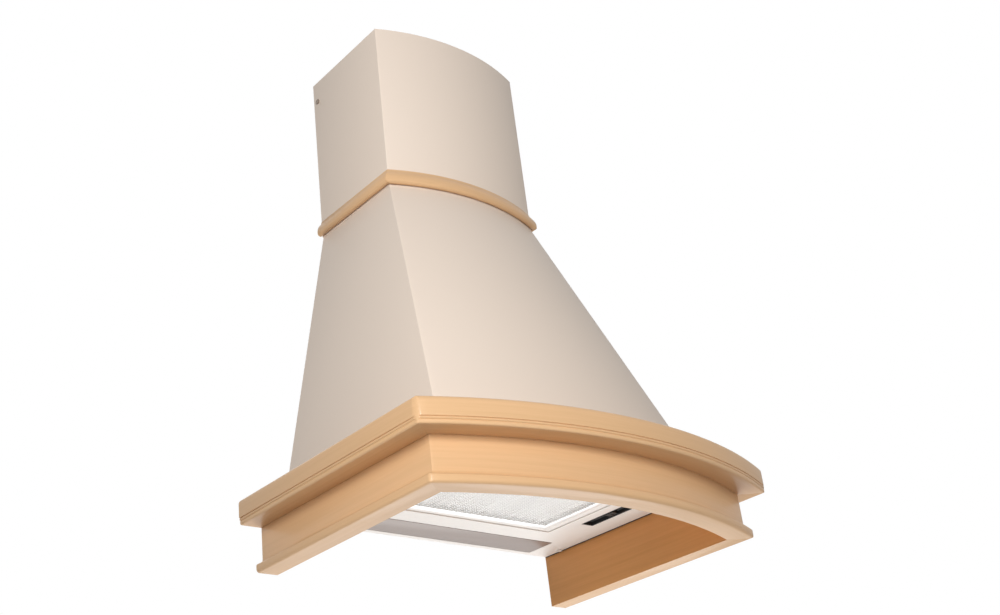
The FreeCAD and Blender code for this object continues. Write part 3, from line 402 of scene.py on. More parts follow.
def tidy_mesh(piece: Piece) -> None:
    """Merges doubles and turns every face outwards.

    Args:
        piece: the object.
    """
    edit(piece)
    bpy.ops.mesh.remove_doubles(threshold=MERGE_DISTANCE)
    bpy.ops.mesh.normals_make_consistent(inside=False)
    finish_edit()


def smooth(piece: Piece, angle: float = 30) -> None:
    """Shades smooth across edges flatter than the angle in degrees."""
    take(piece)
    bpy.ops.object.shade_smooth_by_angle(angle=math.radians(angle))


def apply_modifier(piece: Piece, kind: str, **settings: object) -> None:
    """Adds a modifier and applies it.

    Args:
        piece: the object.
        kind: the modifier's type.
        settings: its attributes.
    """
    take(piece)
    modifier = piece.modifiers.new(kind.lower(), kind)
    for name, value in settings.items():
        setattr(modifier, name, value)
    bpy.ops.object.modifier_apply(modifier=modifier.name)


def sort_mesh(piece: Piece) -> None:
    """Puts corners, edges and faces in one order, which the exact boolean changes from run to run.

    Args:
        piece: the object.
    """
    edit(piece)
    bpy.context.scene.cursor.location = SORT_PLACE
    bpy.ops.mesh.sort_elements(type="CURSOR_DISTANCE", elements={"VERT", "EDGE", "FACE"})
    finish_edit()


def boolean(piece: Piece, tool: Piece, operation: str) -> None:
    """Cuts with a tool or keeps the part in common with it; the tool is then deleted.

    Args:
        piece: the object to change.
        tool: the other object.
        operation: DIFFERENCE or INTERSECT.
    """
    apply_modifier(piece, "BOOLEAN", object=tool, operation=operation, solver="EXACT")
    bpy.data.objects.remove(tool)
    sort_mesh(piece)


def block(name: str, low: Sequence[float], high: Sequence[float]) -> Piece:
    """Adds a box between two corners.

    Args:
        name: the object's name.
        low: the lowest corner.
        high: the highest corner.

    Returns:
        The box, with its place in its mesh.
    """
    deselect_all()
    size = [b - a for a, b in zip(low, high)]
    bpy.ops.mesh.primitive_cube_add(size=1, location=[(a + b) / 2 for a, b in zip(low, high)],
                                    scale=size)
    return settle(name)


def dress(piece: Piece, material: Material) -> None:
    """Gives an object one material alone."""
    piece.data.materials.clear()
    piece.data.materials.append(material)


# ---- the bow ----


@dataclass(frozen=True)
class Bow:
    """A plan with two straight sides and a bowed front."""

    half_width: float
    radius: float
    side_depth: float

    @property
    def centre(self) -> float:
        """Y of the bow's centre."""
        return math.sqrt(self.radius ** 2 - self.half_width ** 2) - self.side_depth

    def corner(self, out: float) -> Point:
        """Right front corner at an offset outwards.

        Args:
            out: the offset.

        Returns:
            X and Y of the corner.
        """
        x = self.half_width + out
        return x, self.centre - math.sqrt((self.radius + out) ** 2 - x ** 2)

    def place(self, angle: float, out: float, up: float) -> Vector:
        """Point of the bow.

        Args:
            angle: radians from the middle of the front towards the right.
            out: offset outwards.
            up: height above the frame's bottom.

        Returns:
            The point in the hood's own frame.
        """
        reach = self.radius + out
        return Vector((reach * math.sin(angle), self.centre - reach * math.cos(angle),
                       up - HANG_HEIGHT))

    def outline(self, out: float, steps: int, back: float, up: float,
                back_flange: Optional[float] = None) -> list[Vector]:
        """Corners from the left back, along the front, to the right back.

        Args:
            out: offset outwards.
            steps: parts of the bow.
            back: Y of the back ends.
            up: height above the frame's bottom.
            back_flange: half-width between two flanges that turn inwards at the back.

        Returns:
            The points in order.
        """
        x, y = self.corner(out)
        half = math.atan2(x, self.centre - y)
        front = [self.place(-half + 2 * half * step / steps, out, up) for step in range(steps + 1)]
        height = up - HANG_HEIGHT
        points = [Vector((-x, back, height)), *front, Vector((x, back, height))]
        if back_flange is None:
            return points
        return [Vector((-back_flange, back, height)), *points, Vector((back_flange, back, height))]


FRAME_BOW = Bow(0.266, 0.700, 0.3675)
CHIMNEY_BOW = Bow(0.1374, 0.3534, 0.1742)


@dataclass
class Moulding:
    """A mitred wooden moulding along both sides and the bowed front.

    The profile's points are offsets outwards from the bow and heights above the frame's bottom,
    inner and outer its smallest and largest offset, and rounding the round of its front corners.
    The spares are what the blanks have too much before they are sawn off.
    """

    name: str
    bow: Bow
    profile: list[Point]
    inner: float
    outer: float
    rounding: float
    straight_wood: Material
    bent_wood: Material
    # beech with painted shade for a board's inner faces
    inner_shade_wood: Optional[Material] = None
    steps: int = 72
    corner_steps: int = 10
    spare: float = 0.0004
    joint_edge: float = 0.00025
    plan_back: float = 0.05
    plan_low: float = -0.05
    plan_height: float = 1.0
    back_spare: float = 0.004
    side_spare: float = 0.02
    turn_spare: float = 0.06
    near: float = 0.001

    def plan(self) -> Piece:
        """Tall block with the moulding's outline and rounded front corners.

        Returns:
            The block.
        """
        out = self.outer + self.spare
        tool = draw(self.name + "_plan",
                    self.bow.outline(out, self.steps, self.plan_back, self.plan_low))
        edit(tool)
        bpy.ops.mesh.edge_face_add()
        extrude((0, 0, self.plan_height))
        x, y = self.bow.corner(out)
        choose(tool, "EDGE", lambda middle, way: abs(way.z) > 0.9
               and abs(abs(middle.x) - x) < MERGE_DISTANCE * 2
               and abs(middle.y - y) < MERGE_DISTANCE * 2)
        bpy.ops.mesh.bevel(offset=self.rounding, segments=self.corner_steps, affect="EDGES")
        finish_edit()
        tidy_mesh(tool)
        return tool

    def close(self, piece: Piece, node: str, wood: Material) -> None:
        """Rounds, softens and dresses a rail.

        Args:
            piece: the rail.
            node: the name of the CAD node that it stands for.
            wood: its material.
        """
        tidy_mesh(piece)
        boolean(piece, self.plan(), "INTERSECT")
        tidy_mesh(piece)
        edit(piece, "EDGE")
        bpy.ops.mesh.dissolve_limited(angle_limit=math.radians(0.5))
        finish_edit()
        apply_modifier(piece, "BEVEL", width=self.joint_edge, segments=2, limit_method="ANGLE",
                       angle_limit=EDGE_ANGLE)
        smooth(piece)
        dress(piece, wood)
        # the inner faces get the beech with painted shade
        if self.inner_shade_wood:
            self.line(piece)
        place_for(piece, "hood", "wood", node)

    def line(self, piece: Piece) -> None:
        """Gives a board's inner face the darker, redder beech of painted shade.

        Args:
            piece: the board.
        """
        piece.data.materials.append(self.inner_shade_wood)
        middle = Vector((0, self.bow.centre, 0))
        if piece.name.endswith("front_rail"):
            faces = [face for face in piece.data.polygons if abs(face.normal.z) < 0.3
                     and face.normal.dot(middle - face.center) > 0
                     and (face.center.xy - middle.xy).length
                     < self.bow.radius + self.inner + self.near]
        else:
            inside = self.bow.half_width + self.inner
            faces = [face for face in piece.data.polygons if abs(face.normal.x) > 0.9
                     and abs(abs(face.center.x) - inside) < self.near]
        for face in faces:
            face.material_index = 1

    def side(self, hand: int) -> Piece:
        """Straight side rail.

        Args:
            hand: 1 for the right, -1 for the left.

        Returns:
            The rail.
        """
        label = self.name + ("_right" if hand > 0 else "_left")
        base = self.bow.half_width
        points = [Vector(((base + out) * hand, self.back_spare, up - HANG_HEIGHT))
                  for out, up in self.profile]
        rail = draw(label + "_rail", points)
        edit(rail)
        reach = self.bow.side_depth + self.outer * 3 + self.side_spare
        extrude((0, -reach, 0))
        finish_edit()
        cut_flat(rail, Vector((0, 0, 0)), Vector((0, 1, 0)))
        cut_flat(rail, *self.mitre(hand, -1))
        self.close(rail, label, self.straight_wood)
        return rail

    def front(self) -> Piece:
        """Bent front rail, spun about the bow's centre.

        Returns:
            The rail.
        """
        x, y = self.bow.corner(self.outer)
        half = math.atan2(x, self.bow.centre - y) + self.turn_spare
        rail = draw(self.name + "_front_rail",
                    [self.bow.place(half, out, up) for out, up in self.profile])
        edit(rail)
        bpy.ops.mesh.spin(steps=self.steps, angle=2 * half, center=(0, self.bow.centre, 0),
                          axis=(0, 0, 1))
        finish_edit()
        for hand in (1, -1):
            cut_flat(rail, *self.mitre(hand, 1))
        self.close(rail, self.name + "_front", self.bent_wood)
        return rail

    def mitre(self, hand: int, keep_front: int) -> tuple[Vector, Vector]:
        """Plane of the mitre.

        Args:
            hand: 1 for the right corner, -1 for the left.
            keep_front: 1 where the front rail is kept, -1 where the side rail is.

        Returns:
            A point of the plane, and its normal towards the side that goes.
        """
        x0, y0 = self.bow.corner(self.inner)
        x1, y1 = self.bow.corner(self.outer)
        normal = Vector((-(y1 - y0) * hand, x1 - x0, 0)).normalized() * keep_front
        return Vector((x0 * hand, y0, 0)), normal

    def build(self) -> list[Piece]:
        """Makes the three rails.

        Returns:
            The rails.
        """
        return [self.front(), self.side(1), self.side(-1)]


# ---- sub-assemblies ----


def join(pieces: Sequence[Piece], name: str) -> Piece:
    """Joins objects into one.

    Args:
        pieces: the objects; the first one stays.
        name: its name from then on.

    Returns:
        The joined object.
    """
    take(pieces[0])
    for piece in pieces[1:]:
        piece.select_set(True)
    if len(pieces) > 1:
        bpy.ops.object.join()
    pieces[0].name = name
    return pieces[0]


def skin(name: str, outlines: Sequence[Sequence[Vector]]) -> Piece:
    """Stretches a sheet over a row of open outlines with equal numbers of corners.

    Args:
        name: the object's name.
        outlines: the outlines in order.

    Returns:
        The sheet.
    """
    strips = []
    for number, (low, high) in enumerate(zip(outlines, outlines[1:])):
        wires = [draw(f"{name}_{number}_{part}", line, closed=False)
                 for part, line in enumerate((low, high))]
        strip = join(wires, f"{name}_{number}")
        edit(strip, "EDGE")
        bpy.ops.mesh.bridge_edge_loops()
        finish_edit()
        strips.append(strip)
    return join(strips, name)


def form_sheet(sheet: Piece, inside: Vector, thickness: float, bend: float) -> None:
    """Gives an open skin its wall, inwards from its face, and rounds its bends.

    Args:
        sheet: the skin.
        inside: a point that it encloses.
        thickness: the sheet metal's thickness.
        bend: the round of the bends.
    """
    tidy_mesh(sheet)
    widest = max(sheet.data.polygons, key=lambda face: face.area)
    if widest.normal.dot(widest.center - inside) < 0:
        edit(sheet, "FACE")
        bpy.ops.mesh.flip_normals()
        finish_edit()
    apply_modifier(sheet, "SOLIDIFY", thickness=thickness, offset=-1, use_even_offset=True)
    apply_modifier(sheet, "BEVEL", width=bend, segments=3, limit_method="ANGLE",
                   angle_limit=math.radians(25))
    smooth(sheet, 35)


def softened(node: Piece, name: str, edge: float) -> Piece:
    """Copies a CAD node, merges it and gives its edges a small round.

    Args:
        node: the CAD node.
        name: the copy's name.
        edge: width of the round.

    Returns:
        The copy.
    """
    piece = bpy.data.objects.new(name, node.data.copy())
    bpy.context.scene.collection.objects.link(piece)
    edit(piece)
    bpy.ops.mesh.remove_doubles(threshold=MERGE_DISTANCE)
    bpy.ops.mesh.dissolve_limited(angle_limit=math.radians(1))
    finish_edit()
    apply_modifier(piece, "BEVEL", width=edge, segments=2, limit_method="ANGLE",
                   angle_limit=EDGE_ANGLE)
    smooth(piece)
    return piece


def place_for(piece: Piece, body: str, slot: str, *nodes: str) -> None:
    """Lets a piece ride on a body and stand for CAD nodes.

    Args:
        piece: the piece.
        body: the body that carries it.
        slot: the record's material slot; not used.
        nodes: the CAD nodes that it replaces.
    """
    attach(piece, body)
    if nodes:
        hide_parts(*nodes)


@dataclass(frozen=True)
class RoundedPiece:
    """A moulded or pressed piece: its CAD node's copy with rounded edges."""

    node: str
    name: str
    edge: float
    material: Material
    body: str
    slot: str

    def build(self, nodes: dict[str, Piece]) -> Piece:
        """Makes the piece.

        Args:
            nodes: the CAD nodes.

        Returns:
            The piece.
        """
        piece = softened(nodes[self.node], self.name, self.edge)
        dress(piece, self.material)
        place_for(piece, self.body, self.slot, self.node)
        return piece


@dataclass
class Canopy:
    """Flared sheet canopy with its flanges, from the cornice up to the chimney cover."""

    paint: Material
    foot: Bow = FRAME_BOW
    head: Bow = Bow(0.137, 0.353, 0.1755)
    bottom: float = 0.084
    skirt_top: float = 0.097
    top: float = 0.540
    inset: float = 0.036
    flange: float = 0.0132
    top_flange: float = 0.009
    back_flange: float = 0.016
    back: float = -0.0015
    sheet: float = 0.0012
    bend: float = 0.0009
    steps: int = 56
    inside: Point3 = (0, -0.2, 0.02)

    def build(self) -> list[Piece]:
        """Makes the sheet: flange, skirt, slope and top flange.

        Returns:
            The canopy.
        """
        foot_x = self.foot.half_width - self.inset - self.back_flange
        head_x = self.head.half_width - self.back_flange
        rows = [(self.foot, self.flange - self.inset, self.bottom, foot_x),
                (self.foot, -self.inset, self.bottom, foot_x),
                (self.foot, -self.inset, self.skirt_top, foot_x),
                (self.head, 0.0, self.top, head_x),
                (self.head, -self.top_flange, self.top, head_x - self.top_flange)]
        shell = skin("canopy_sheet", [bow.outline(out, self.steps, self.back, up, x)
                                      for bow, out, up, x in rows])
        form_sheet(shell, Vector(self.inside), self.sheet, self.bend)
        dress(shell, self.paint)
        place_for(shell, "hood", "cream_paint", "canopy_shell")
        return [shell]


@dataclass
class ChimneyCover:
    """Bow-fronted sheet cover of the duct."""

    paint: Material
    bow: Bow = CHIMNEY_BOW
    bottom: float = 0.5412
    top: float = 0.825
    sheet: float = 0.001
    bend: float = 0.0008
    steps: int = 56
    inside: Point3 = (0, -0.08, 0.25)

    def build(self) -> list[Piece]:
        """Makes the cover.

        Returns:
            The cover.
        """
        cover = skin("chimney_sheet", [self.bow.outline(0, self.steps, 0, up)
                                       for up in (self.bottom, self.top)])
        form_sheet(cover, Vector(self.inside), self.sheet, self.bend)
        dress(cover, self.paint)
        place_for(cover, "hood", "cream_paint", "chimney_cover")
        return [cover]


@dataclass
class GreaseFilter:
    """Cassette with an expanded-metal face over its pleats, and its latch.

    cell is the pitch of the diamonds across and deep, strand the width of the metal between them
    and bulge how far the face stands out below the CAD grid.
    """

    frame_metal: Material
    mesh_metal: Material
    latch_plastic: Material
    cell: Point = (0.0080, 0.0046)
    strand: float = 0.0007
    thickness: float = 0.0007
    bulge: float = 0.0010
    edge: float = 0.0005

    def face(self) -> Piece:
        """Expanded metal: one diamond, inset and thickened, then repeated both ways.

        Returns:
            The face sheet.
        """
        low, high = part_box("filter_grid")
        wide, deep = self.cell
        columns = int((high[0] - low[0]) / wide)
        rows = int((high[1] - low[1]) / deep)
        first_x = (low[0] + high[0]) / 2 - (columns - 1) * wide / 2
        first_y = (low[1] + high[1]) / 2 - (rows - 1) * deep / 2
        deselect_all()
        bpy.ops.mesh.primitive_circle_add(vertices=4, radius=0.5, fill_type="NGON",
                                          location=(first_x, first_y, low[2] - self.bulge))
        bpy.context.object.scale = (wide, deep, 1)
        face = settle("filter_expanded_face")
        edit(face, "FACE")
        bpy.ops.mesh.inset(thickness=self.strand)
        bpy.ops.mesh.delete(type="FACE")
        bpy.ops.mesh.select_all(action="SELECT")
        extrude((0, 0, self.thickness))
        finish_edit()
        tidy_mesh(face)
        apply_modifier(face, "ARRAY", count=columns, use_relative_offset=False,
                       use_constant_offset=True, constant_offset_displace=(wide, 0, 0))
        apply_modifier(face, "ARRAY", count=rows, use_relative_offset=False,
                       use_constant_offset=True, constant_offset_displace=(0, deep, 0))
        # the face's nearly white aluminium is a painted glint of its strands
        dress(face, self.mesh_metal)
        place_for(face, "filter", "aluminium", "filter_grid")
        return face

    def build(self, nodes: dict[str, Piece]) -> list[Piece]:
        """Makes the frame, its face and the latch.

        Args:
            nodes: the CAD nodes.

        Returns:
            The pieces.
        """
        rim = RoundedPiece("filter_frame", "filter_rim", self.edge, self.frame_metal, "filter",
                           "aluminium")
        latch = RoundedPiece("filter_latch", "latch_slide_plate", self.edge, self.latch_plastic,
                             "latch", "grey_plastic")
        return [rim.build(nodes), self.face(), latch.build(nodes)]


@dataclass
class Underside:
    """Tray, lamp lens and controls, with pressed and moulded edges rounded.

    joint is the gap between the tray and a side board, relief the radius of the round holes at
    the bends behind the filter. The black strips in those joints are painted shade: they stand in
    for the shadow that falls there.
    """

    paint: Material
    lens: Material
    black: Material
    joint: float = 0.0015
    wall: float = 0.0016
    relief: float = 0.0016
    relief_depth: float = 0.006
    edge: float = 0.0005
    # sizes of the black strips of painted shade in the tray's joints
    joint_shade_strip_overlap: float = 0.0002
    joint_shade_strip_front: float = 0.024
    joint_shade_strip_front_gap: float = 0.002
    joint_shade_strip_drop: float = 0.0007
    joint_shade_strip_height: float = 0.004
    joint_shade_strip_edge: float = 0.0004

    def ease(self, tray: Piece) -> None:
        """Opens the joints between the tray and the side boards and drills the relief holes.

        Args:
            tray: the tray.
        """
        low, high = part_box("tray")
        for hand, side in ((-1, low[0]), (1, high[0])):
            edit(tray)
            choose(tray, "VERT", lambda middle, way, x=side: abs(middle.x - x) < self.wall)
            bpy.ops.transform.translate(value=(-hand * self.joint, 0, 0))
            finish_edit()
        frame_low, frame_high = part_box("filter_frame")
        for x in (frame_low[0] - self.relief, frame_high[0] + self.relief):
            deselect_all()
            bpy.ops.mesh.primitive_cylinder_add(
                vertices=24, radius=self.relief, depth=self.relief_depth,
                location=(x, frame_high[1] + self.relief * 2, low[2]))
            boolean(tray, settle("relief_hole"), "DIFFERENCE")

    def joint_shade_strip(self, hand: int) -> Piece:
        """Black strip in the joint between the tray and a side board: painted shade for the shadow
        there.

        Args:
            hand: 1 for the right, -1 for the left.

        Returns:
            The strip.
        """
        low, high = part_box("tray")
        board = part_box("frieze_right")[0][0]
        sides = sorted((hand * (high[0] - self.joint + self.joint_shade_strip_overlap), hand * board))
        front = FRAME_BOW.corner(-self.joint_shade_strip_front)[1]
        strip = block("tray_joint_shade_strip_right" if hand > 0 else "tray_joint_shade_strip_left",
                      (sides[0], front + self.joint_shade_strip_front_gap, low[2] - self.joint_shade_strip_drop),
                      (sides[1], high[1], low[2] + self.joint_shade_strip_height))
        apply_modifier(strip, "BEVEL", width=self.joint_shade_strip_edge, segments=2)
        smooth(strip)
        # black: painted shade where the joint's shadow falls
        dress(strip, self.black)
        place_for(strip, "hood", "black_plastic")
        return strip

    def build(self, nodes: dict[str, Piece]) -> list[Piece]:
        """Makes the tray, the lens, the controls and the black strips of painted shade in the joints.

        Args:
            nodes: the CAD nodes.

        Returns:
            The pieces.
        """
        tray = softened(nodes["tray"], "pressed_tray", self.edge)
        self.ease(tray)
        # the tray's coat is painted lighter than the cover's cream: painted light on its downward face
        dress(tray, self.paint)
        place_for(tray, "hood", "cream_paint", "tray")
        rest = (
            RoundedPiece("lamp_lens", "lens_cover", 0.0006, self.lens, "lens", "lens_plastic"),
            RoundedPiece("control_bezel", "bezel_frame", 0.0004, self.black, "hood", "black_plastic"),
            RoundedPiece("speed_slider", "speed_knob", 0.0005, self.black, "speed_slider",
                         "black_plastic"),
            RoundedPiece("light_slider", "light_knob", 0.0005, self.black, "light_slider",
                         "black_plastic"))
        return [tray, *(piece.build(nodes) for piece in rest), self.joint_shade_strip(1), self.joint_shade_strip(-1)]


@dataclass
class FanHousing:
    """Sheet box round the fan, and the moulded terminal box on it."""

    zinc: Material
    grey: Material

    def build(self, nodes: dict[str, Piece]) -> list[Piece]:
        """Makes the boxes and the lid.

        Args:
            nodes: the CAD nodes.

        Returns:
            The pieces.
        """
        pieces = (
            RoundedPiece("motor_box", "fan_case", 0.0008, self.zinc, "hood", "galvanised"),
            RoundedPiece("terminal_box", "terminal_case", 0.0008, self.grey, "hood", "grey_plastic"),
            RoundedPiece("terminal_lid", "terminal_cover", 0.0006, self.grey, "hood", "grey_plastic"))
        return [piece.build(nodes) for piece in pieces]


@dataclass
class WoodenFrame:
    """Frieze boards with a moulded foot, and the cornice on top of them.

    The foot has a rounded nose, a smaller round over it and a cove up to the board. The cornice
    has a flat soffit, a bead between two quirks low on its face, and a rounded top; its leaf
    reaches inwards over the boards and under the canopy.
    """

    wood_straight: Material
    wood_bent: Material
    # the beech with painted shade for the boards' inner faces
    wood_inner_shade: Material
    bow: Bow = FRAME_BOW
    board: float = 0.022
    height: float = 0.084
    foot_out: float = 0.010
    foot_nose: float = 0.0045
    foot_shoulder: float = 0.0030
    foot_cove: float = 0.0070
    foot_cove_height: float = 0.0190
    foot_corner: float = 0.007
    leaf: float = 0.0357
    soffit_height: float = 0.062
    top: float = 0.097
    overhang: float = 0.034
    soffit_round: float = 0.0025
    bead: float = 0.0018
    fillet: float = 0.0010
    top_round: float = 0.0070
    cornice_corner: float = 0.014

    def foot_profile(self) -> list[Point]:
        """Section of the frieze board and its foot.

        Returns:
            The points.
        """
        return [(-self.board, 0.0),
                *arc((self.foot_out - self.foot_nose, self.foot_nose), self.foot_nose, -90, 0, 6),
                *arc((self.foot_out - self.foot_shoulder, self.foot_nose * 2), self.foot_shoulder,
                     0, 90, 4),
                *arc((self.foot_cove, self.foot_cove_height), self.foot_cove, -95, -180, 7),
                (0.0, self.height), (-self.board, self.height)]

    def face(self, back: float, rise: float) -> Point:
        """Point set back from the cornice's face, at a height above its soffit."""
        return self.overhang - back, self.soffit_height + rise

    def cornice_profile(self) -> list[Point]:
        """Section of the cornice.

        Returns:
            The points.
        """
        return [(-self.leaf, self.height), (0.0, self.height), (0.0, self.soffit_height),
                *arc(self.face(0.0040, self.soffit_round), self.soffit_round, -90, 0, 5),
                self.face(0.0015, 0.0048), self.face(0.0021, 0.0055),
                *arc(self.face(0.0023, 0.0074), self.bead, -60, 60, 5), self.face(0.0016, 0.0093),
                *arc(self.face(self.fillet, 0.0102), self.fillet, -90, 0, 3),
                *arc((self.overhang - self.top_round, self.top - self.top_round), self.top_round,
                     0, 90, 8),
                (-self.leaf, self.top)]

    def build(self) -> list[Piece]:
        """Makes the frieze and the cornice.

        Returns:
            Their rails.
        """
        frieze = Moulding("frieze", self.bow, self.foot_profile(), -self.board, self.foot_out,
                          self.foot_corner, self.wood_straight, self.wood_bent, self.wood_inner_shade)
        cornice = Moulding("cornice", self.bow, self.cornice_profile(), -self.leaf, self.overhang,
                           self.cornice_corner, self.wood_straight, self.wood_bent)
        return frieze.build() + cornice.build()


@dataclass
class Band:
    """Wooden band over the joint of canopy and chimney cover.

    It stands off the cover by a gap, is undercut at its lower edge, and has a nose with a long
    flat curve over it.
    """

    wood_straight: Material
    wood_bent: Material
    bow: Bow = CHIMNEY_BOW
    bottom: float = 0.5415
    height: float = 0.027
    gap: float = 0.00015
    undercut: float = 0.0026
    undercut_height: float = 0.003
    lip: float = 0.0002
    projection: float = 0.009
    nose: float = 0.005
    slope: float = 0.0225
    slope_height: float = 0.0055
    corner: float = 0.0035

    def profile(self) -> list[Point]:
        """Section of the band.

        Returns:
            The points.
        """
        low = self.bottom
        return [(self.gap, low + self.undercut_height), (self.undercut, low + self.undercut_height),
                (self.undercut, low + self.lip),
                *arc((self.projection - self.nose, low + self.nose), self.nose, -90, 0, 6),
                *arc((self.projection - self.slope, low + self.slope_height), self.slope, 8, 48, 6),
                (self.gap, low + self.height)]

    def build(self) -> list[Piece]:
        """Makes the band's rails.

        Returns:
            The rails.
        """
        return Moulding("band", self.bow, self.profile(), self.gap, self.projection, self.corner,
                        self.wood_straight, self.wood_bent).build()


@dataclass(frozen=True)
class SoftLight:
    """A square soft white light: where it stands, what it faces, its side and its watts."""

    name: str
    place: Point3
    aim: Point3
    side: float
    watts: float

    def build(self) -> None:
        """Adds the light."""
        data = bpy.data.lights.new(self.name, "AREA")
        data.size = self.side
        data.energy = self.watts
        lamp = bpy.data.objects.new(self.name, data)
        bpy.context.scene.collection.objects.link(lamp)
        lamp.location = self.place
        lamp.rotation_mode = "QUATERNION"
        lamp.rotation_quaternion = (Vector(self.aim) - Vector(self.place)).to_track_quat("-Z", "Y")


@dataclass
class Studio:
    """Camera at the photograph's view, soft lights, a pale floor and a white surround."""

    camera_place: Point3 = (-1.2028, -1.5094, -0.9409)
    camera_look: Point3 = (0.5674, 0.6906, 0.4485)
    camera_roll: float = 5.49
    sensor_mm: float = 36
    lens_mm: float = 49.59
    shift: Point = (0.083, -0.0044)
    clip: Point = (0.05, 50)
    floor_side: float = 14
    floor_height: float = -1.95
    floor_glow: float = 0.62
    surround_light: float = 0.10
    lights: tuple[SoftLight, ...] = (
        SoftLight("key", (-2.15, -2.55, 0.0), (0, -0.2, 0.0), 1.0, 92),
        SoftLight("bounce", (0.45, 0.5, -1.35), (0, -0.2, -0.4), 1.2, 13),
        SoftLight("back", (1.6, 2.9, 1.4), (0, -0.1, 0), 2.4, 16))

    def camera(self) -> None:
        """Places the camera."""
        data = bpy.data.cameras.new("photo_view")
        data.sensor_width = self.sensor_mm
        data.lens = self.lens_mm
        data.shift_x, data.shift_y = self.shift
        data.clip_start, data.clip_end = self.clip
        holder = bpy.data.objects.new("photo_view", data)
        bpy.context.scene.collection.objects.link(holder)
        look = Vector(self.camera_look).normalized()
        holder.rotation_mode = "QUATERNION"
        holder.rotation_quaternion = (Quaternion(look, math.radians(self.camera_roll))
                                      @ look.to_track_quat("-Z", "Y"))
        holder.location = self.camera_place
        bpy.context.scene.camera = holder

    def sight(self, tree: bpy.types.NodeTree) -> bpy.types.NodeSocket:
        """One for what the camera sees, also in metal and through glass, and nought for light.

        Args:
            tree: the node tree that asks.

        Returns:
            The factor.
        """
        rays = add_node(tree, "LightPath").outputs
        seen = add_node(tree, "Math", {0: rays["Is Camera Ray"], 1: rays["Is Glossy Ray"]},
                        operation="MAXIMUM")
        clear = add_node(tree, "Math", {0: seen.outputs[0], 1: rays["Is Transmission Ray"]},
                         operation="MAXIMUM")
        return clear.outputs[0]

    def surround(self) -> None:
        """White world for the camera and for reflections, a softer one for the light it gives."""
        world = bpy.data.worlds.new("studio")
        bpy.context.scene.world = world
        world.use_nodes = True
        tree = world.node_tree
        level = add_node(tree, "MapRange", {"Value": self.sight(tree), 1: 0.0, 2: 1.0,
                                            3: self.surround_light, 4: 1.0})
        back = tree.nodes["Background"]
        back.inputs["Color"].default_value = (1, 1, 1, 1)
        tree.links.new(level.outputs[0], back.inputs["Strength"])

    def floor(self) -> None:
        """Lays the floor, which can't be seen from below."""
        deselect_all()
        bpy.ops.mesh.primitive_plane_add(size=self.floor_side, location=(0, 0, self.floor_height))
        ground = settle("floor")
        material = STUDIO_FLOOR.build()
        tree = material.node_tree
        shader = tree.nodes["Principled BSDF"]
        glow = add_node(tree, "Math", {0: self.sight(tree), 1: self.floor_glow}, operation="MULTIPLY")
        shader.inputs["Emission Color"].default_value = (1, 1, 1, 1)
        tree.links.new(glow.outputs[0], shader.inputs["Emission Strength"])
        below = add_node(tree, "MixShader", {0: add_node(tree, "NewGeometry").outputs["Backfacing"],
                                             1: shader.outputs[0],
                                             2: add_node(tree, "BsdfTransparent").outputs[0]})
        tree.links.new(below.outputs[0], tree.nodes["Material Output"].inputs["Surface"])
        dress(ground, material)

    def build(self) -> None:
        """Sets up the whole studio."""
        bpy.context.scene.view_settings.view_transform = "Standard"
        self.camera()
        self.surround()
        for light in self.lights:
            light.build()
        self.floor()


# ---- finishes ----

# Beech, planed and sprayed with satin lacquer: a pale warm wood with fine straight streaks and a
# soft sheen on its rounded edges. The real fibres are finer than a pixel, so fibre_mm is coarser.
WOOD_LIGHT = "#E1B78A"
SIDE_BEECH = WoodFinish("lacquered_beech_side_rail", WOOD_LIGHT, 0.5, coat=0.22, ior=1.38)
# The same beech bent and glued in a mould: the streaks follow the bow.
BENT_BEECH = WoodFinish("lacquered_beech_bent_rail", WOOD_LIGHT, 0.5, coat=0.22, ior=1.38,
                        run=Run.BOW, bow_radius=FRAME_BOW.radius, bow_centre=FRAME_BOW.centre)
# Beech on the boards' inner faces, a little darker, redder and without the lacquer's sheen: painted
# shade, with painted warm light that bounces between the boards inside the hood.
SHADED_INNER_BEECH = WoodFinish("beech_inner_face_painted_shade", "#EFAD6A", 0.55, dark="#E4A15D")
# Cream powder coat baked on sheet steel: an even satin skin with a faint orange peel, which
# spreads the lights into wide soft patches.
CREAM = Finish("cream_powder_coat_on_sheet_steel", "#EADACB", 0.52, ior=1.4, coat=0.03,
               grit_mm=1.6, grit_depth=0.02)
# The same kind of coat on the tray and its screws, a little smoother, in an off-white lighter than
# the cover's cream: painted light, standing in for light on the tray's downward face.
TRAY_COAT_PAINTED_LIGHT = Finish("tray_powder_coat_painted_light", "#F4EEE8", 0.45, coat=0.05, grit_mm=1.6,
                    grit_depth=0.02)
# Hot-dip zinc-coated sheet: cool grey metal with lighter and darker clouds.
ZINC = Finish("zinc_coated_sheet_steel", "#B9BCBE", 0.38, metallic=0.9, tint=0.06)
# Rolled aluminium as it leaves the mill: a pale metal with a blurred reflection.
ALUMINIUM = Finish("mill_finish_aluminium", "#E2E2E1", 0.45, metallic=0.6)
# Slit and stretched aluminium, coloured nearly white: a painted glint for the light that its
# turned strands catch every way.
EXPANDED_SHEET = Finish("expanded_aluminium_painted_glint", "#F6F6F5", 0.5, metallic=0.4)
# Steel screws plated to a brownish bronze: small dull dots on the cream cover.
BRONZE_SCREW = Finish("bronze_plated_screw", "#8E7F72", 0.45, metallic=0.5)
# Turned or stamped steel with bright zinc: a clear metallic glint.
STEEL_SCREW = Finish("zinc_plated_steel_fastener", "#C4C4C2", 0.3, metallic=0.95)
# Injection-moulded ABS with a spark-eroded grain: matt, nearly black. The grain of the plastics,
# the enamel and the frost are finer than a pixel, so their grit_mm is coarser than the real one.
BLACK_PLASTIC = Finish("black_moulded_abs", "#0E0A09", 0.6, grit_mm=0.7, grit_depth=0.03)
